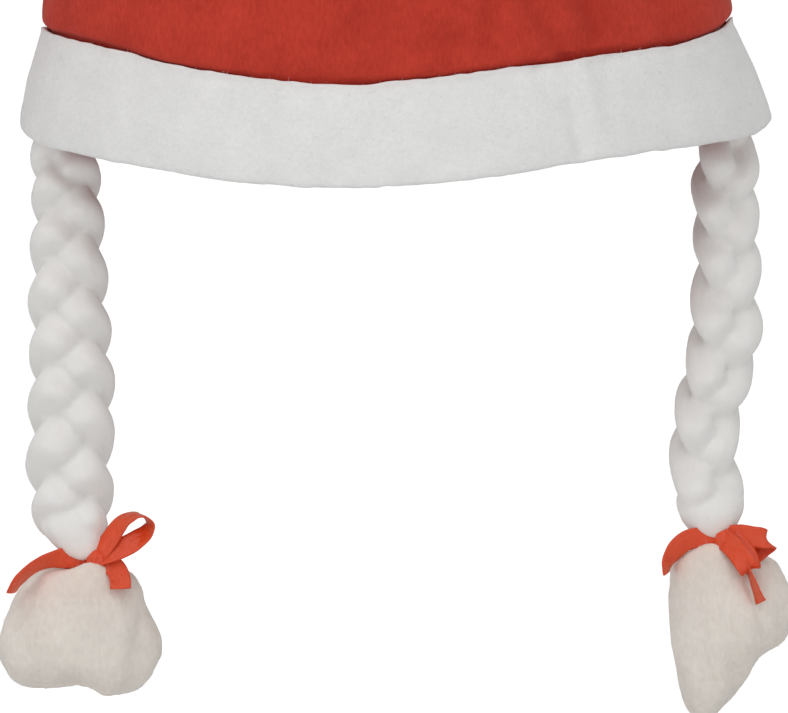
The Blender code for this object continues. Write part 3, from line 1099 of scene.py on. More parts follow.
@dataclass
class Crown:
    """The felt cone, open below, with its tail bent over to the viewer's left.

    Attributes:
        form: the surface that it has.
        wall: the felt's thickness, in metres.
        around: how many points it has round it.
        rings_per_section: how many rings it has to each section.
        creases: reach, angle, depth, length, width and slant of each crease, in mm and degrees.
        folds: the folds that the front shows.
        shown_from: the section at which creases and unevenness begin, inside the band.
        fade: over how many sections they do.
        calm_tip: over how many sections unevenness ends at the tip.
        soft: the layers of the felt's unevenness.
        painted_shade_below: how dark the felt is painted inside the band and just above its upper edge,
            as painted shade, from 0 to 1.
        painted_shade_fade: over how many sections that painted shade ends.
        painted_crease_shade: how dark the painted shade is in a crease as deep as deep_dent would be.
        deep_dent: that depth, in metres.
        dent_limit: the share of it past which the painted shade in creases grows no darker.
        nap: its loose fibres.
    """

    form: HatForm
    wall: float = 1.5 * MM
    around: int = 240
    rings_per_section: int = 11
    creases: Table = (
        (154.0, 180.0, 7.0, 46.0, 9.0, 0.0),
        (198.0, 184.0, 8.0, 44.0, 8.0, 0.0),
        (240.0, 177.0, 7.0, 36.0, 8.0, 0.0),
        (282.0, 183.0, 4.0, 26.0, 7.0, 0.0),
        (66.0, 298.0, 2.4, 36.0, 7.0, -62.0),
        (82.0, 314.0, 2.2, 40.0, 8.0, -68.0),
        (104.0, 262.0, 2.4, 50.0, 11.0, -80.0),
        (150.0, 120.0, 1.6, 34.0, 7.0, 30.0),
        (182.0, 232.0, 1.8, 30.0, 7.0, -24.0),
        (120.0, 60.0, 1.8, 40.0, 9.0, 70.0),
        (222.0, 130.0, 1.6, 26.0, 6.0, 20.0),
        (96.0, 110.0, 1.6, 46.0, 10.0, 80.0),
    )
    folds: tuple[Fold, ...] = (
        Fold(((39.0, 66.0), (47.0, 55.0), (54.5, 44.0), (57.0, 38.0)), 1.5, 2.6),
        Fold(((61.5, 66.0), (63.5, 58.0), (66.5, 50.0)), 1.3, 2.4),
        Fold(((53.0, 64.0), (58.0, 54.0)), -1.0, 3.4),
        Fold(((33.5, 66.0), (31.0, 56.0), (29.0, 47.0)), 0.9, 3.2),
        Fold(((10.5, 47.0), (19.5, 48.5)), 1.0, 3.4),
        Fold(((-41.0, 37.0), (-22.0, 36.0)), 0.7, 3.0),
        Fold(((-80.0, 62.0), (-84.0, 50.0), (-92.0, 42.0)), 0.6, 5.0),
    )
    shown_from: float = 2.0
    fade: float = 0.6
    calm_tip: float = 1.5
    soft: Table = ((1.2, 38, 11), (0.5, 13, 12), (0.16, 4, 13))
    painted_shade_below: float = 0.45
    painted_shade_fade: float = 0.9
    painted_crease_shade: float = 0.8
    deep_dent: float = 4 * MM
    dent_limit: float = 0.6
    nap: Nap = Nap(9000, 1.5 * MM, 0.04 * MM, lift=0.25, stray=0.8, seed=3)

    def dents(self, grid: np.ndarray, places: np.ndarray, angles: np.ndarray) -> np.ndarray:
        """How deep creases and folds are at each point.

        Args:
            grid: the points.
            places: how far up each ring is, in sections from the first.
            angles: how far round each point is.

        Returns:
            One depth for each point, in metres.
        """
        middle = along(self.form.sections, places)
        steps = np.linalg.norm(np.diff(middle[:, :2], axis=0), axis=1)
        reach = np.concatenate([[0.0], np.cumsum(steps)])
        girth = ((middle[:, 3] + middle[:, 4]) / 2)[:, None]
        dent = np.zeros(grid.shape[:2])
        for at, angle, depth, length, width, slant in self.creases:
            turn = (angles - math.radians(angle) + math.pi) % (2 * math.pi) - math.pi
            rise, round_it, lean = reach[:, None] - at, turn[None] * girth, math.radians(slant)
            lengthwise = round_it * math.cos(lean) + rise * math.sin(lean)
            crosswise = rise * math.cos(lean) - round_it * math.sin(lean)
            dent += depth * MM * np.exp(-((lengthwise / length) ** 2) - (crosswise / width) ** 2)
        return dent + front_folds(grid, self.folds)

    def build(self) -> Piece:
        """Builds the shell and gives it its wall."""
        last = len(self.form.sections) - 1
        places = np.linspace(0, last, last * self.rings_per_section + 1)
        angles = turns(self.around)
        grid = self.form.points(places, angles)
        dent = self.dents(grid, places, angles)
        shown = np.clip((places - self.shown_from) / self.fade, 0, 1)[:, None]
        tip = np.clip((places[-1] - places) / self.calm_tip, 0, 1)[:, None]
        grid += normals_of(grid) * (((relief(grid, self.soft) * MM * tip) - dent) * shown)[..., None]
        # Painted shade: the felt is darkened inside the band and just above its upper edge, and in creases
        # and folds by their depth.
        above = np.clip((places - self.shown_from) / self.painted_shade_fade, 0, 1)[:, None] * np.ones_like(dent)
        dark = self.painted_crease_shade * np.clip(dent / self.deep_dent, 0, self.dent_limit)
        tint = self.painted_shade_below * (1 - above) + dark
        crown = GridMesh(grid, cap_end=True, tint=tint).object("felt_crown")
        thick = crown.modifiers.new("wall", "SOLIDIFY")
        thick.thickness, thick.offset, thick.use_even_offset = self.wall, -1, False
        return crown

    def dress(self) -> None:
        """Makes the crown and its nap."""
        crown = self.build()
        nap = self.nap.over(crown, "crown_nap", RED_FELT.material())
        dressed(crown, RED_FELT.material(), Slot.RED_FELT, "crown")
        dressed(nap, RED_FELT.material(), Slot.RED_FELT)


@dataclass
class BrimBand:
    """The soft folded strip of white felt round the crown's lower edge.

    Attributes:
        form: the hat's surface, which it follows.
        wall: its thickness, in metres.
        foot: the level of the middle of its lower edge, in metres.
        head: the level of its upper edge.
        gap: how far it stands off the crown, in metres.
        around: how many sections it has.
        profile_points: how many points each section has.
        folds: the folds that its front shows.
        squareness: the powers that square off a section's height and round its width.
        head_thinning: how much thinner it is at its upper edge, as a share.
        thin_from: where that starts, from 0 at half its height to 1 at its upper edge.
        dip: how far the front's lower edge is lowered in the middle, in metres.
        dip_at: where that is in x, and how wide it is.
        soft: the layers of the felt's unevenness.
        ragged: the layers of its edges' unevenness.
        edge_pink: how much of the crown's red its upper edge shows, from 0 to 1.
        nap: its loose fibres.
    """

    form: HatForm
    wall: float = 3.5 * MM
    foot: float = 0.9 * MM
    head: float = 35.2 * MM
    gap: float = 0.5 * MM
    around: int = 520
    profile_points: int = 56
    folds: tuple[Fold, ...] = (
        Fold(((46.5, 37.0), (52.0, 31.0), (57.0, 26.3), (59.7, 19.3), (61.0, 10.7)), 1.3, 2.6),
        Fold(((61.0, 39.0), (64.5, 31.0), (66.5, 24.0)), -1.0, 3.4),
        Fold(((70.5, 43.0), (69.5, 34.0), (68.5, 25.0)), 0.45, 1.8),
        Fold(((-60.0, 34.0), (-52.0, 20.0), (-50.0, 8.0)), 0.35, 6.0),
        Fold(((8.0, 30.0), (14.0, 16.0), (10.0, 4.0)), 0.3, 7.0),
    )
    squareness: tuple[float, float] = (0.35, 0.7)
    head_thinning: float = 0.42
    thin_from: float = 0.2
    dip: float = 1.0 * MM
    dip_at: tuple[float, float] = (-20 * MM, 42 * MM)
    soft: Table = ((0.50, 21, 21), (0.30, 8, 22), (0.12, 2.6, 23))
    ragged: Table = ((0.5, 11, 24), (0.25, 3.4, 25))
    edge_pink: float = 0.55
    nap: Nap = Nap(9400, 1.7 * MM, 0.045 * MM, lift=0.4, stray=0.9, seed=5)

    def build(self) -> Piece:
        """Builds the band as a closed loop of rounded flat sections."""
        angles, turn = turns(self.around), turns(self.profile_points)
        up, out = (
            np.sign(swing) * np.abs(swing) ** power
            for swing, power in zip((np.sin(turn), np.cos(turn)), self.squareness)
        )
        heights = [row[1] for row in self.form.sections[:4]]
        level = self.foot + (self.head - self.foot) * (1 + up) / 2
        places = np.interp(level / MM, heights, range(len(heights)))
        thin = 1 - self.head_thinning * np.clip(up - self.thin_from, 0, 1) ** 1.5
        outwards = (self.gap + self.wall * (1 + out) / 2 * thin)[:, None]
        grid = self.form.points(places, angles, outwards)
        grid[..., 2] += np.minimum(0.0, level - heights[0] * MM)[:, None]
        grid = grid.transpose(1, 0, 2)
        middle = np.exp(-(((grid[..., 0] - self.dip_at[0]) / self.dip_at[1]) ** 2))
        grid[..., 2] -= self.dip * middle * (grid[..., 1] < 0) * (1 - up)[None] / 2
        outer = np.clip(out, 0, 1)[None] ** 0.5
        normal = -normals_of(grid, loop=True)
        raised = relief(grid, self.soft) * MM - front_folds(grid, self.folds)
        grid += normal * (raised * outer)[..., None]
        grid[..., 2] += np.abs(up)[None] ** 8 * relief(grid, self.ragged) * MM
        # A pink tint, toward the crown's red, along the upper edge.
        tint = np.clip(up, 0, 1)[None] ** 14 * self.edge_pink * np.ones(grid.shape[:2])
        return GridMesh(grid, loop=True, turned=True, tint=tint).object("felt_band")

    def dress(self) -> None:
        """Makes the band and its nap."""
        band = self.build()
        nap = self.nap.over(band, "band_nap", WHITE_FELT.material())
        dressed(band, WHITE_FELT.material(), Slot.WHITE_FELT, "brim_band")
        dressed(nap, WHITE_FELT.material(), Slot.WHITE_FELT)


# Plaits, tufts and ribbons


@dataclass(frozen=True)
class PlaitTables:
    """The sizes of one side's plait, tuft and ribbon, in mm and degrees.

    Attributes:
        bulges: bulge number, height, centre x and half width down the plait.
        front: 1 where strands run outwards at the front, -1 where they run inwards.
        over: how far in front of the others a strand crosses from left to right, as a share of
            the half width.
        tongue: x, y, height, half width and half depth of the bulge that hangs over the ribbon.
        neck: x and z of the neck's middle.
        tuft: height, centre x, half width and half depth of the tuft down to its widest place.
        hem: x and z along the tuft's lower outline.
        rise: where the tuft's front rises over the ribbon, in x, and how wide the rise is.
        tuft_folds: the folds that the tuft's front shows.
        strips: x, y, z from the neck's middle, and the direction of the ribbon's width.
        knot: the knot's middle, from the neck's middle.
    """

    bulges: Table
    front: float
    over: float
    tongue: Table
    neck: tuple[float, float]
    tuft: Table
    hem: Table
    rise: tuple[float, float]
    tuft_folds: tuple[Fold, ...]
    strips: tuple[Table, ...]
    knot: tuple[float, float, float]


PLAITS = {
    Side.LEFT: PlaitTables(
        bulges=(
            (-0.9, 22.0, -109.0, 8.8), (-0.4, 13.5, -110.4, 9.8), (0.0, 6.0, -110.4, 11.6),
            (1.0, -8.6, -109.5, 12.0), (2.0, -25.4, -109.4, 13.0), (3.0, -43.6, -109.2, 13.7),
            (4.0, -60.9, -108.4, 14.4), (5.0, -78.0, -108.0, 14.8), (6.0, -97.3, -109.0, 14.8),
            (6.5, -106.0, -108.2, 14.2), (7.0, -114.2, -107.6, 13.8), (7.3, -119.4, -106.8, 11.4),
            (7.5, -123.6, -106.0, 7.8), (7.6, -126.2, -105.4, 5.8), (7.8, -128.7, -105.3, 5.3),
        ),
        front=1.0,
        over=0.0,
        tongue=(
            (-108.5, -1.5, -107.0, 5.0, 4.0), (-108.2, -2.8, -112.5, 9.6, 7.8),
            (-107.8, -3.8, -118.0, 10.8, 8.4), (-106.6, -5.0, -122.6, 8.8, 6.6),
            (-105.0, -6.4, -126.6, 5.6, 4.4), (-104.4, -8.4, -129.0, 0.8, 0.6),
        ),
        neck=(-105.3, -129.2),
        tuft=(
            (-129.0, -105.3, 5.4, 5.4), (-131.6, -105.3, 6.2, 6.2), (-133.0, -105.0, 15.6, 11.0),
            (-138.2, -104.7, 20.2, 14.0), (-142.2, -105.2, 22.2, 15.4), (-145.6, -105.3, 23.5, 16.4),
            (-150.2, -106.0, 25.4, 17.4), (-156.0, -106.4, 27.2, 18.0), (-161.0, -106.3, 27.8, 17.6),
        ),
        hem=(
            (-134.5, -162.0), (-133.0, -167.8), (-129.5, -171.4), (-124.0, -172.4), (-113.0, -171.8),
            (-107.3, -170.4), (-104.0, -170.8), (-100.7, -172.4), (-97.7, -174.4), (-95.3, -174.8),
            (-91.7, -174.4), (-86.0, -173.2), (-81.5, -170.8), (-78.0, -162.0),
        ),
        rise=(-101.0, 7.5),
        tuft_folds=(
            Fold(((-106.0, -158.0), (-106.8, -164.0), (-107.3, -172.0)), 0.8, 3.2),
            Fold(((-120.3, -134.6), (-123.0, -143.6), (-128.0, -151.0)), 1.1, 1.7),
            Fold(((-85.0, -146.0), (-84.7, -156.0), (-81.7, -160.0)), 1.0, 2.0),
            Fold(((-97.0, -140.0), (-94.0, -150.0), (-95.0, -158.0)), 0.6, 3.2),
            Fold(((-124.0, -158.0), (-120.5, -164.0), (-119.5, -172.0)), 0.8, 2.8),
        ),
        strips=(
            (
                (4.0, -7.8, 1.5, 0.0, 0.0, 1.0), (-4.6, -8.6, 1.2, 0.0, -0.15, 1.0),
                (-9.4, -9.6, 0.5, -0.15, -0.65, 0.75), (-14.7, -10.8, -1.6, -0.3, -0.8, 0.5),
                (-19.6, -11.2, -5.6, -0.4, -0.85, 0.4), (-22.6, -10.2, -10.4, -0.3, -0.95, 0.15),
            ),
            (
                (5.6, -9.4, 2.4, 0.75, -0.45, -0.5), (9.4, -10.4, 7.2, 0.75, -0.6, -0.35),
                (12.6, -11.6, 12.0, 0.6, -0.75, -0.3), (15.6, -12.6, 14.9, 0.5, -0.85, -0.2),
                (19.2, -13.2, 16.1, 0.5, -0.85, -0.15), (22.3, -13.4, 15.2, 0.45, -0.9, -0.1),
                (23.8, -13.4, 12.9, 0.45, -0.9, -0.1), (22.2, -13.2, 10.0, 0.55, -0.75, -0.35),
                (19.0, -12.8, 7.6, 0.55, -0.5, -0.65), (15.3, -12.2, 5.4, 0.4, -0.35, -0.85),
                (11.0, -11.0, 3.4, 0.3, -0.45, -0.8), (7.4, -9.2, 2.0, 0.4, -0.6, -0.6),
            ),
            (
                (6.0, -8.2, 1.0, 0.7, 0.0, 0.7), (11.5, -11.0, -1.8, 0.9, -0.1, 0.3),
                (13.4, -14.2, -5.2, 1.0, 0.0, 0.1), (13.6, -16.2, -8.4, 1.0, 0.1, 0.1),
            ),
        ),
        knot=(5.6, -8.6, 0.4),
    ),
    Side.RIGHT: PlaitTables(
        bulges=(
            (-1.4, 22.0, 109.1, 8.8), (-0.9, 12.6, 109.9, 9.6), (-0.5, 2.8, 109.8, 11.0),
            (0.0, -5.1, 109.4, 11.3), (0.5, -13.9, 109.6, 11.3), (1.0, -22.6, 110.2, 11.2),
            (1.5, -30.9, 110.2, 11.4), (2.0, -41.2, 109.6, 11.8), (2.5, -50.9, 109.8, 12.4),
            (3.0, -58.6, 109.2, 12.4), (3.5, -69.6, 106.4, 12.2), (4.0, -76.6, 104.6, 11.8),
            (4.5, -86.2, 103.0, 11.8), (5.0, -95.9, 102.9, 12.0), (5.5, -106.9, 103.9, 12.3),
            (5.9, -112.9, 104.7, 10.6), (6.1, -117.0, 105.2, 8.2), (6.3, -119.8, 105.3, 6.0),
            (6.5, -122.4, 105.3, 5.3),
        ),
        front=-1.0,
        over=0.20,
        tongue=(
            (104.4, -1.0, -102.0, 6.0, 4.0), (104.5, -2.4, -107.0, 10.8, 7.4),
            (104.7, -3.2, -112.0, 11.2, 8.6), (105.1, -3.8, -116.6, 8.8, 7.4),
            (105.4, -5.0, -120.0, 5.4, 4.6), (105.6, -6.6, -122.4, 0.8, 0.8),
        ),
        neck=(105.3, -122.9),
        tuft=(
            (-122.7, 105.3, 5.4, 5.4), (-126.4, 105.6, 5.8, 5.8), (-128.6, 108.4, 16.4, 11.0),
            (-133.9, 110.0, 19.0, 13.6), (-138.2, 111.0, 20.0, 15.0), (-143.0, 112.0, 21.2, 15.6),
            (-148.5, 112.4, 21.4, 15.6),
        ),
        hem=(
            (90.0, -166.0), (91.5, -174.5), (93.5, -178.5), (96.0, -181.5), (99.5, -184.0),
            (103.0, -184.8), (107.0, -182.5), (110.7, -177.5), (114.3, -172.0), (116.7, -169.6),
            (119.3, -164.4), (122.0, -161.4), (125.0, -160.2), (130.7, -158.4), (134.0, -150.0),
        ),
        rise=(104.6, 9.5),
        tuft_folds=(
            Fold(((108.3, -140.0), (109.6, -150.0), (111.6, -160.6), (112.6, -166.0)), 1.0, 2.2),
            Fold(((118.2, -136.0), (121.0, -146.0), (123.4, -155.0)), 1.6, 1.8),
            Fold(((99.0, -138.0), (98.0, -150.0), (99.0, -164.0)), 0.6, 3.4),
        ),
        strips=(
            (
                (5.0, -7.6, 1.2, 0.0, 0.0, 1.0), (-4.4, -8.8, 1.6, 0.0, -0.1, 1.0),
                (-8.4, -9.4, 0.8, -0.3, -0.2, 0.9), (-11.4, -9.6, -1.6, -0.65, -0.4, 0.65),
                (-13.6, -9.2, -5.0, -0.7, -0.65, 0.3), (-14.6, -8.6, -8.2, -0.4, -0.9, 0.1),
                (-14.8, -8.2, -10.2, -0.25, -0.95, 0.0),
            ),
            (
                (4.6, -9.0, 2.2, 0.0, 0.2, 1.0), (9.2, -11.0, 2.9, 0.0, 0.25, 1.0),
                (13.2, -12.4, 2.4, 0.0, 0.25, 1.0), (15.8, -12.8, 2.1, -0.2, 0.2, 0.95),
                (17.8, -12.3, 1.2, -0.5, 0.2, 0.85), (18.4, -11.0, 0.2, -0.7, 0.2, 0.7),
                (16.8, -9.9, -1.1, -0.7, 0.2, 0.7), (13.6, -9.5, -3.5, -0.6, 0.2, 0.75),
                (9.6, -9.1, -3.0, -0.3, 0.2, 0.9), (6.0, -8.2, -1.0, 0.0, 0.2, 1.0),
            ),
            (
                (3.2, -9.6, 1.8, 0.5, -0.1, 0.85), (6.2, -13.4, -0.4, 0.75, -0.2, 0.65),
                (8.9, -16.0, -3.4, 0.8, -0.1, 0.6), (11.2, -17.2, -6.6, 0.85, 0.0, 0.5),
                (12.2, -16.6, -8.0, 0.85, 0.0, 0.5), (12.4, -15.4, -6.6, 0.85, 0.1, 0.5),
                (10.8, -14.0, -2.8, 0.8, 0.1, 0.6), (7.8, -11.8, 0.4, 0.7, 0.0, 0.7),
                (4.8, -9.4, 1.8, 0.5, 0.0, 0.85),
            ),
            (
                (5.0, -9.4, 0.4, 0.6, -0.2, 0.75), (9.4, -12.8, -4.0, 0.6, -0.7, 0.4),
                (12.3, -15.4, -8.6, 0.2, -0.95, 0.1), (14.3, -16.6, -13.8, 0.25, -0.95, 0.1),
                (16.4, -17.4, -19.0, 0.45, -0.85, 0.15),
            ),
        ),
        knot=(4.4, -8.6, 0.8),
    ),
}


@dataclass
class Plait:
    """One plait: three strands of roving, the ribbon that ties them, and the tuft below it.

    Attributes:
        side: which side it hangs on.
        strands: how many strands it has.
        strand_share: a strand's radius as a share of the plait's half width.
        depth_share: how far strands swing to front and back, as a share of the same.
        around: how many points a strand has round it.
        rings_per_bulge: how many rings it has to each row of its table.
        ribbon_width: the ribbon's width, in metres.
        ribbon_wall: its thickness.
        ribbon_camber: how far its edges curl, in metres.
        ribbon_crumple: the layers of its unevenness.
        crossing_pinch: how much thinner a strand is where it crosses the middle, as the same share.
        overhang: how far strands stand out past the table's half width, in mm.
        lean_share: how far a strand's rings lean with its path, where 1 is fully.
        strand_layers: the layers of its combed relief.
        tongue_layers: those of the tongue's.
        locks: the layers of the tuft's locks, as its fibres lie.
        combed: those of its combed relief.
        crumple: those of its unevenness.
        collar: how far the tuft's front rises over the ribbon, in mm.
        neck_radius: the radius of the ribbon's wrap, in metres.
        knot_size: the knot's half width, half depth and half height, in mm.
        braid_skin: how fine the plait's skin is, in metres, and how often it is smoothed.
        tuft_skin: the same of the tuft's.
        tuft_rings: how many rings the tuft has down to its widest place.
        dome_rings: how many it has below.
        tuft_around: how many points it has round it.
        dome_powers: the powers that square off the tuft's lower end in width and depth.
        fuzz: how high the skins' combed relief stands, in metres.
        tables: the side's tables.
    """

    side: Side
    strands: int = 3
    strand_share: float = 0.57
    depth_share: float = 0.41
    around: int = 64
    rings_per_bulge: int = 22
    ribbon_width: float = 7.0 * MM
    ribbon_wall: float = 0.5 * MM
    ribbon_camber: float = 0.35 * MM
    ribbon_crumple: Table = ((0.3, 4.5, 51),)
    crossing_pinch: float = 0.06
    overhang: float = 0.3
    lean_share: float = 0.9
    strand_layers: Table = ((0.05, 1.5, 33), (0.03, 0.8, 34))
    tongue_layers: Table = ((0.35, 2.6, 35), (0.15, 1.1, 36))
    locks: Table = ((1.0, 8, 41), (0.26, 3.6, 42))
    combed: Table = ((0.06, 1.7, 43), (0.04, 0.9, 44))
    crumple: Table = ((1.1, 12, 45), (0.2, 4, 46))
    collar: float = 5.2
    neck_radius: float = 7.2 * MM
    knot_size: tuple[float, float, float] = (3.6, 2.8, 3.7)
    braid_skin: tuple[float, int] = (0.75 * MM, 8)
    tuft_skin: tuple[float, int] = (0.9 * MM, 6)
    tuft_rings: int = 96
    dome_rings: int = 63
    tuft_around: int = 208
    dome_powers: tuple[float, float] = (0.27, 0.75)
    fuzz: float = 0.05 * MM
    tables: PlaitTables = field(init=False)

    def __post_init__(self) -> None:
        """Takes the side's tables."""
        self.tables = PLAITS[self.side]

    def named(self, what: str) -> str:
        """A piece's name on this side."""
        return f"{what}_{self.side.value}"

    def tinting(self, grid: np.ndarray, reach: float, strength: float) -> np.ndarray:
        """How far the fibres are tinted pink near the ribbon.

        Args:
            grid: the points, in metres.
            reach: how far from the neck it goes, in metres.
            strength: how strong it is at the neck.

        Returns:
            A value from 0 to 1 for each point.
        """
        away = np.abs(grid[..., 2] - self.tables.neck[1] * MM)
        patchy = 0.55 + 0.45 * noise(grid, 5 * MM, 61)
        return np.clip(strength * patchy * np.exp(-((away / reach) ** 2)), 0, 1)

    def strand(self, number: int) -> Piece:
        """Builds one strand, with rings that lean across its path.

        Args:
            number: which strand.

        Returns:
            The strand as a closed tube.
        """
        tables = self.tables
        last = len(tables.bulges) - 1
        places = np.linspace(last, 0, last * self.rings_per_bulge + 1)
        bulge, height, centre_x, half_width = along(tables.bulges, places).T
        phase = 2 * math.pi * (bulge - number) / self.strands
        radius = half_width * (self.strand_share - self.crossing_pinch * np.sin(phase) ** 2)
        across = -(half_width * (1 - self.strand_share) + self.overhang) * np.cos(phase)
        deep = tables.front * half_width * self.depth_share * np.sin(2 * phase)
        slope = np.arctan(np.gradient(across + centre_x, height)) * self.lean_share
        turn = turns(self.around)
        x = across[:, None] + radius[:, None] * np.cos(turn) * np.cos(slope)[:, None]
        y = deep[:, None] + radius[:, None] * np.sin(turn)
        z = height[:, None] - radius[:, None] * np.cos(turn) * np.sin(slope)[:, None]
        nearer = tables.over * (half_width * np.sin(phase))[:, None]
        grid = stacked(centre_x[:, None] + x, y - nearer, z) * MM
        mesh = GridMesh(grid, cap_start=True, cap_end=True, stretch=11.0)
        lay = mesh.fibre_at() + number
        # The relief fades where the plait narrows to its neck.
        thick = np.clip((half_width / 9.0) - 0.4, 0.1, 1)[:, None]
        soft = 0.45 * noise(grid + number, 10 * MM, 31) + 0.14 * noise(lay, 3.4 * MM, 32) - 0.2
        raised = (soft + relief(lay, self.strand_layers)) * MM * thick
        mesh.grid = grid + normals_of(grid) * raised[..., None]
        mesh.tint = self.tinting(mesh.grid, 7 * MM, 0.55)
        return mesh.object(self.named(f"strand_{number}"))

    def tongue(self) -> Piece:
        """Builds the plait's last bulge, which hangs down over the ribbon."""
        rows = along(self.tables.tongue, np.linspace(len(self.tables.tongue) - 1, 0, 61))
        x, y, height, half_width, half_depth = rows.T[:, :, None]
        turn = turns(40)
        grid = stacked(x + half_width * np.cos(turn), y + half_depth * np.sin(turn), height) * MM
        mesh = GridMesh(grid, cap_start=True, cap_end=True)
        raised = relief(mesh.fibre_at(), self.tongue_layers) * MM
        mesh.grid = grid + normals_of(grid) * raised[..., None]
        mesh.tint = self.tinting(mesh.grid, 6 * MM, 0.7)
        return mesh.object(self.named("tongue"))

    def braid(self) -> Piece:
        """Builds the whole plait down to its neck."""
        strands = [self.strand(number) for number in range(self.strands)] + [self.tongue()]
        return softened(joined(self.named("roving_plait"), strands), *self.braid_skin, self.fuzz)

    def tuft_grid(self) -> np.ndarray:
        """The tuft's smooth shape: a flared sleeve, closed by a dome that follows its hem."""
        tables = self.tables
        upper = along(tables.tuft, np.linspace(0, len(tables.tuft) - 1, self.tuft_rings))
        turn = turns(self.tuft_around)
        height, centre, half, deep = upper.T[:, :, None]
        x = centre + half * np.cos(turn)
        front = np.clip(-np.sin(turn), 0, 1) * np.exp(-(((x - tables.rise[0]) / tables.rise[1]) ** 2))
        down = np.linspace(0, 1, self.tuft_rings)
        risen = np.interp(down, (0.0, 0.15, 0.27, 0.45, 0.8), (0.0, 0.0, 1.0, 0.8, 0.0))[:, None]
        sleeve = stacked(x, deep * np.sin(turn), height + self.collar * front * risen)
        # The last ring stays just short of the pole, where a point closes it.
        bow = np.linspace(0, 1, self.dome_rings + 1)[1:, None] ** 0.8 * math.pi / 2 * 0.995
        width, depth = (np.cos(bow) ** power for power in self.dome_powers)
        x = centre[-1] + half[-1] * width * np.cos(turn)
        y = deep[-1] * depth * np.sin(turn)
        hem = np.interp(x, *np.array(tables.hem).T)
        z = height[-1] + (np.minimum(hem, height[-1]) - height[-1]) * np.sin(bow)
        return np.concatenate([sleeve, stacked(x, y, z)]) * MM

    def tuft(self) -> Piece:
        """Builds the loose end, in soft locks."""
        tables = self.tables
        mesh = GridMesh(self.tuft_grid()[::-1], cap_start=True, cap_end=True, stretch=10.0)
        lay = mesh.fibre_at()
        grid = mesh.grid
        # Locks come free of the ribbon from 4.5 mm below the neck on.
        free = np.clip((tables.neck[1] * MM - 4.5 * MM - grid[..., 2]) / (10 * MM), 0.04, 1)
        crumple = relief(grid, self.crumple) - 0.3
        raised = relief(lay, self.locks) + relief(lay, self.combed) + crumple
        push = raised * MM * free - front_folds(grid, tables.tuft_folds)
        mesh.grid = grid + normals_of(grid) * push[..., None]
        mesh.tint = self.tinting(mesh.grid, 13 * MM, 0.4)
        return softened(mesh.object(self.named("loose_tuft")), *self.tuft_skin, self.fuzz)

    def strip(self, rows: Table, name: str) -> Piece:
        """Sweeps the ribbon along one of its runs.

        Args:
            rows: the run's table.
            name: the object's name.

        Returns:
            A thin closed strip.
        """
        last = len(rows) - 1
        samples = along(rows, np.linspace(0, last, last * 14 + 1))
        neck = np.array((self.tables.neck[0], 0.0, self.tables.neck[1]))
        centres = (samples[:, :3] + neck) * MM
        ahead = np.gradient(centres, axis=0)
        ahead /= np.linalg.norm(ahead, axis=1, keepdims=True)
        wide = samples[:, 3:6] - ahead * np.sum(samples[:, 3:6] * ahead, axis=1, keepdims=True)
        wide /= np.linalg.norm(wide, axis=1, keepdims=True)
        thick = np.cross(wide, ahead)
        share = np.linspace(-1, 1, 11)
        across = np.concatenate([share, share[::-1]]) * self.ribbon_width / 2
        face = np.repeat((1.0, -1.0), len(share)) * self.ribbon_wall / 2
        camber = self.ribbon_camber * (across / (self.ribbon_width / 2)) ** 2
        flat = centres[:, None] + wide[:, None] * across[:, None]
        offset = (face - camber)[None] + relief(flat, self.ribbon_crumple) * MM
        grid = flat + thick[:, None] * offset[..., None]
        return GridMesh(grid, cap_start=True, cap_end=True, stretch=1.0).object(name)

    def wrap(self) -> Piece:
        """Builds the ribbon's turns round the neck."""
        neck_x, neck_z = (value * MM for value in self.tables.neck)
        turn = turns(96)
        share = np.linspace(-1, 1, 15)
        up = np.concatenate([share, share[::-1]]) * self.ribbon_width / 2
        pleats = 0.16 * MM * np.cos(up / MM * 2.6)
        out = np.repeat((1.0, -1.0), len(share)) * self.ribbon_wall / 2 + self.neck_radius + pleats
        radius = out[None] + 0.25 * MM * np.sin(3 * turn + 1.0)[:, None]
        height = neck_z + up[None] + 0.3 * MM * np.sin(turn * 2)[:, None]
        grid = stacked(neck_x + radius * np.cos(turn)[:, None], radius * np.sin(turn)[:, None], height)
        return GridMesh(grid, loop=True, turned=True, stretch=1.0).object(self.named("wrap"))

    def knot(self) -> Piece:
        """Builds the ribbon's pleated knot."""
        bow = np.linspace(0.04, math.pi - 0.04, 29)[:, None]
        turn = turns(40)
        pleat = 1 + 0.06 * np.cos(7 * turn) * np.sin(bow)
        neck_x, neck_z = self.tables.neck
        knot_x, knot_y, knot_z = self.tables.knot
        half_width, half_depth, half_height = self.knot_size
        ball = stacked(
            neck_x + knot_x + half_width * np.sin(bow) ** 0.7 * np.cos(turn) * pleat,
            knot_y + half_depth * np.sin(bow) ** 0.7 * np.sin(turn) * pleat,
            neck_z + knot_z - half_height * np.cos(bow),
        ) * MM
        return GridMesh(ball, cap_start=True, cap_end=True, stretch=1.0).object(self.named("knot"))

    def ribbon(self) -> Piece:
        """Builds the ribbon: its wrap round the neck, its knot, its loops and its tails."""
        strips = [self.strip(rows, self.named(f"strip_{k}")) for k, rows in enumerate(self.tables.strips)]
        return joined(self.named("satin_ribbon"), [self.wrap(), self.knot(), *strips])

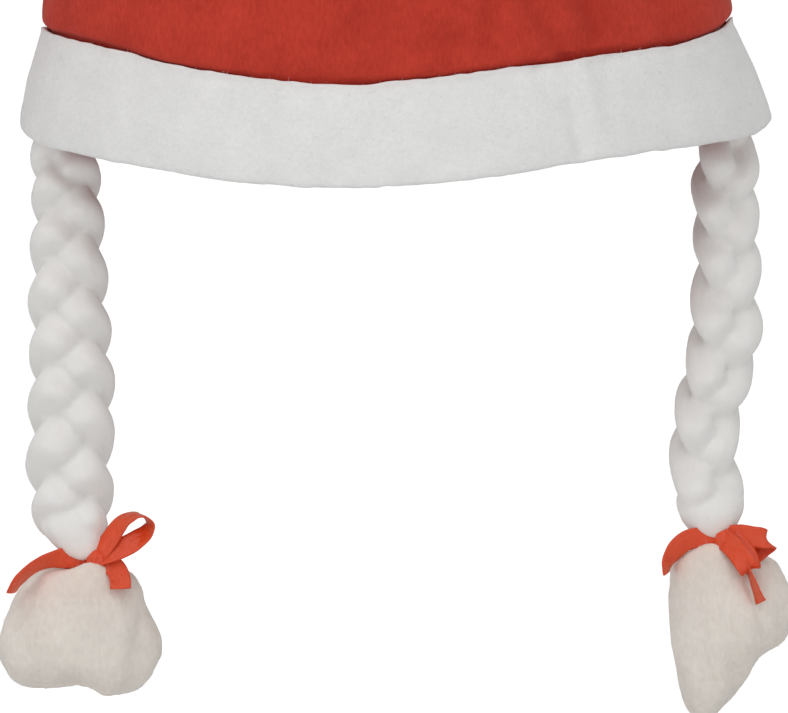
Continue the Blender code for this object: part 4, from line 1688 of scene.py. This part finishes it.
    def dress(self) -> None:
        """Makes the plait, its tuft and its ribbon, with their loose fibres."""
        braid, tuft, ribbon = self.braid(), self.tuft(), self.ribbon()
        seed = 7 if self.side is Side.LEFT else 8
        wisps = Nap(2600, 3.2 * MM, 0.025 * MM, lift=0.12, stray=0.5, segments=3, seed=seed)
        curls = Nap(2600, 3.6 * MM, 0.025 * MM, lift=0.16, stray=0.6, bend=0.4, segments=3, seed=seed + 10)
        braid_wisps = wisps.over(braid, self.named("plait_wisps"), PLAIT_FIBRE.material())
        tuft_wisps = curls.over(tuft, self.named("tuft_wisps"), TUFT_FIBRE.material())
        dressed(braid, PLAIT_FIBRE.material(), Slot.PLAIT_FIBRE, self.named("braid"))
        dressed(tuft, TUFT_FIBRE.material(), Slot.PLAIT_FIBRE, self.named("tuft"))
        dressed(ribbon, SatinFinish().material(), Slot.RED_SATIN, self.named("ribbon"))
        dressed(braid_wisps, PLAIT_FIBRE.material(), Slot.PLAIT_FIBRE)
        dressed(tuft_wisps, TUFT_FIBRE.material(), Slot.PLAIT_FIBRE)


@dataclass
class Pompom:
    """The yarn pompom on the crown's tip.

    Attributes:
        tip: x and z of the crown's tip, in metres.
        lean: the tip's lean, in degrees.
        core: the radius of its firm middle, in metres.
        nap: its yarn ends.
    """

    tip: tuple[float, float] = (-190.0 * MM, 84.0 * MM)
    lean: float = 162.0
    core: float = 24.8 * MM
    nap: Nap = Nap(9000, 8.5 * MM, 0.16 * MM, lift=0.9, stray=0.42, bend=0.3, seed=9)

    def build(self) -> Piece:
        """Builds the ball, which is calm where it sits on the crown's tip."""
        lean = math.radians(self.lean)
        away = np.array((-math.sin(lean), 0.0, math.cos(lean)))
        centre = np.array((self.tip[0], 0.0, self.tip[1])) + away * (self.core + 0.6 * MM)
        bow = np.linspace(0.02, math.pi - 0.02, 110)[:, None]
        turn = turns(180)
        outward = stacked(np.sin(bow) * np.cos(turn), np.sin(bow) * np.sin(turn), -np.cos(bow))
        calm = np.clip((np.arccos(np.clip(outward @ -away, -1, 1)) - 0.25) / 0.3, 0, 1)
        lumps = 1.5 * noise(outward * 25, 8.0, 71) + 0.9 * noise(outward * 25, 3.2, 72)
        grid = centre + outward * (self.core + (lumps + 0.8) * MM * calm)[..., None]
        return GridMesh(grid, cap_start=True, cap_end=True).object("yarn_pompom")

    def dress(self) -> None:
        """Makes the ball and its yarn ends."""
        ball = self.build()
        yarn = self.nap.over(ball, "pompom_yarn_ends", POMPOM_YARN.material())
        dressed(ball, POMPOM_YARN.material(), Slot.WHITE_FELT, "pompom")
        dressed(yarn, POMPOM_YARN.material(), Slot.WHITE_FELT)


# Studio


@dataclass
class Studio:
    """A pale floor, soft light from above and the photograph's view.

    Attributes:
        aim: the point in the middle of the view.
        distance: how far away the camera stands, in metres.
        elevation: how far above the horizon it is, in degrees.
        lens: its focal length, in mm.
        sensor: its sensor's width, in mm.
        farthest: how far it sees, in metres.
        floor_level: the floor's height, in metres.
        floor_half: half the floor's width, in metres.
        floor_shine: how strongly the floor is lit for the camera alone.
        surround: the strength of the surrounding light, and what the camera sees on top of it.
        lights: the name, place, size in metres and power in watts of each light.
        lit: the point that they face.
    """

    aim: tuple[float, float, float] = (-0.0007, 0.0, -0.0613)
    distance: float = 5.0
    elevation: float = 4.5
    lens: float = 685.3
    sensor: float = 36.0
    farthest: float = 100.0
    floor_level: float = -0.35
    floor_half: float = 20.0
    floor_shine: float = 0.7
    surround: tuple[float, float] = (0.45, 0.55)
    lights: tuple[tuple[str, tuple[float, float, float], float, float], ...] = (
        ("key", (-0.2, -1.45, 1.7), 2.4, 19.5),
        ("left_fill", (-1.7, -1.4, 0.3), 1.4, 5.0),
        ("right_fill", (1.7, -1.4, 0.3), 1.4, 3.0),
        ("low_fill", (0.0, -2.0, -0.9), 1.8, 8.0),
    )
    lit: tuple[float, float, float] = (0.0, 0.0, -0.02)

    def camera(self) -> None:
        """Makes the camera."""
        camera = placed("camera", bpy.data.cameras.new("camera"))
        lean = math.radians(self.elevation)
        back = Vector((0, -math.cos(lean), math.sin(lean)))
        camera.location = Vector(self.aim) + back * self.distance
        camera.rotation_euler = (-back).to_track_quat("-Z", "Y").to_euler()
        camera.data.sensor_width = self.sensor
        camera.data.lens = self.lens
        camera.data.clip_end = self.farthest
        bpy.context.scene.camera = camera

    def light(self, name: str, place: tuple[float, float, float], size: float, power: float) -> None:
        """Makes one soft light that faces the hat.

        Args:
            name: its name.
            place: where it stands.
            size: its width, in metres.
            power: its power, in watts.
        """
        lamp = bpy.data.lights.new(name, "AREA")
        lamp.shape, lamp.size, lamp.energy = "DISK", size, power
        obj = placed(name, lamp)
        obj.location = place
        obj.rotation_euler = (Vector(self.lit) - Vector(place)).to_track_quat("-Z", "Y").to_euler()

    def floor(self) -> None:
        """Makes the floor, in pale paper."""
        square = ((-1, -1), (1, -1), (1, 1), (-1, 1))
        points = [(x * self.floor_half, y * self.floor_half, self.floor_level) for x, y in square]
        mesh = bpy.data.meshes.new("floor")
        mesh.from_pydata(points, [], [(0, 1, 2, 3)])
        floor = placed("floor", mesh)
        paper, tree, inputs = blank_material("floor_paper")
        share = noise_node(tree, object_place(tree), 3.0, 2.0)
        set_inputs(tree, inputs, {
            "Base Color": mixed_colour(tree, share, (0.93, 0.93, 0.93), (0.95, 0.95, 0.95)),
            "Roughness": 0.9,
            "Emission Color": (1.0, 1.0, 1.0),
            "Emission Strength": math_node(tree, "MULTIPLY", seen_by_camera(tree), self.floor_shine),
        })
        mesh.materials.append(paper)

    def world(self) -> None:
        """Makes the surrounding light."""
        world = bpy.data.worlds.new("surround")
        world.use_nodes = True
        tree = world.node_tree
        light, shown = self.surround
        seen = math_node(tree, "MULTIPLY", seen_by_camera(tree), shown)
        set_inputs(tree, tree.nodes["Background"].inputs, {
            "Color": (1.0, 1.0, 1.0),
            "Strength": math_node(tree, "ADD", seen, light),
        })
        bpy.context.scene.world = world

    def build(self) -> None:
        """Makes the floor, the lights, the surrounding light and the camera."""
        self.floor()
        for light in self.lights:
            self.light(*light)
        self.world()
        bpy.context.scene.view_settings.view_transform = "Standard"
        self.camera()


def main() -> None:
    """Builds the studio and each piece of the hat, and writes how big the model is."""
    logging.basicConfig(level=logging.INFO, format="%(name)s %(message)s")
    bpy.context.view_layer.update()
    Studio().build()
    form = HatForm()
    for piece in (Crown(form), BrimBand(form), Plait(Side.LEFT), Plait(Side.RIGHT), Pompom()):
        piece.dress()


if __name__ == "__main__":
    main()
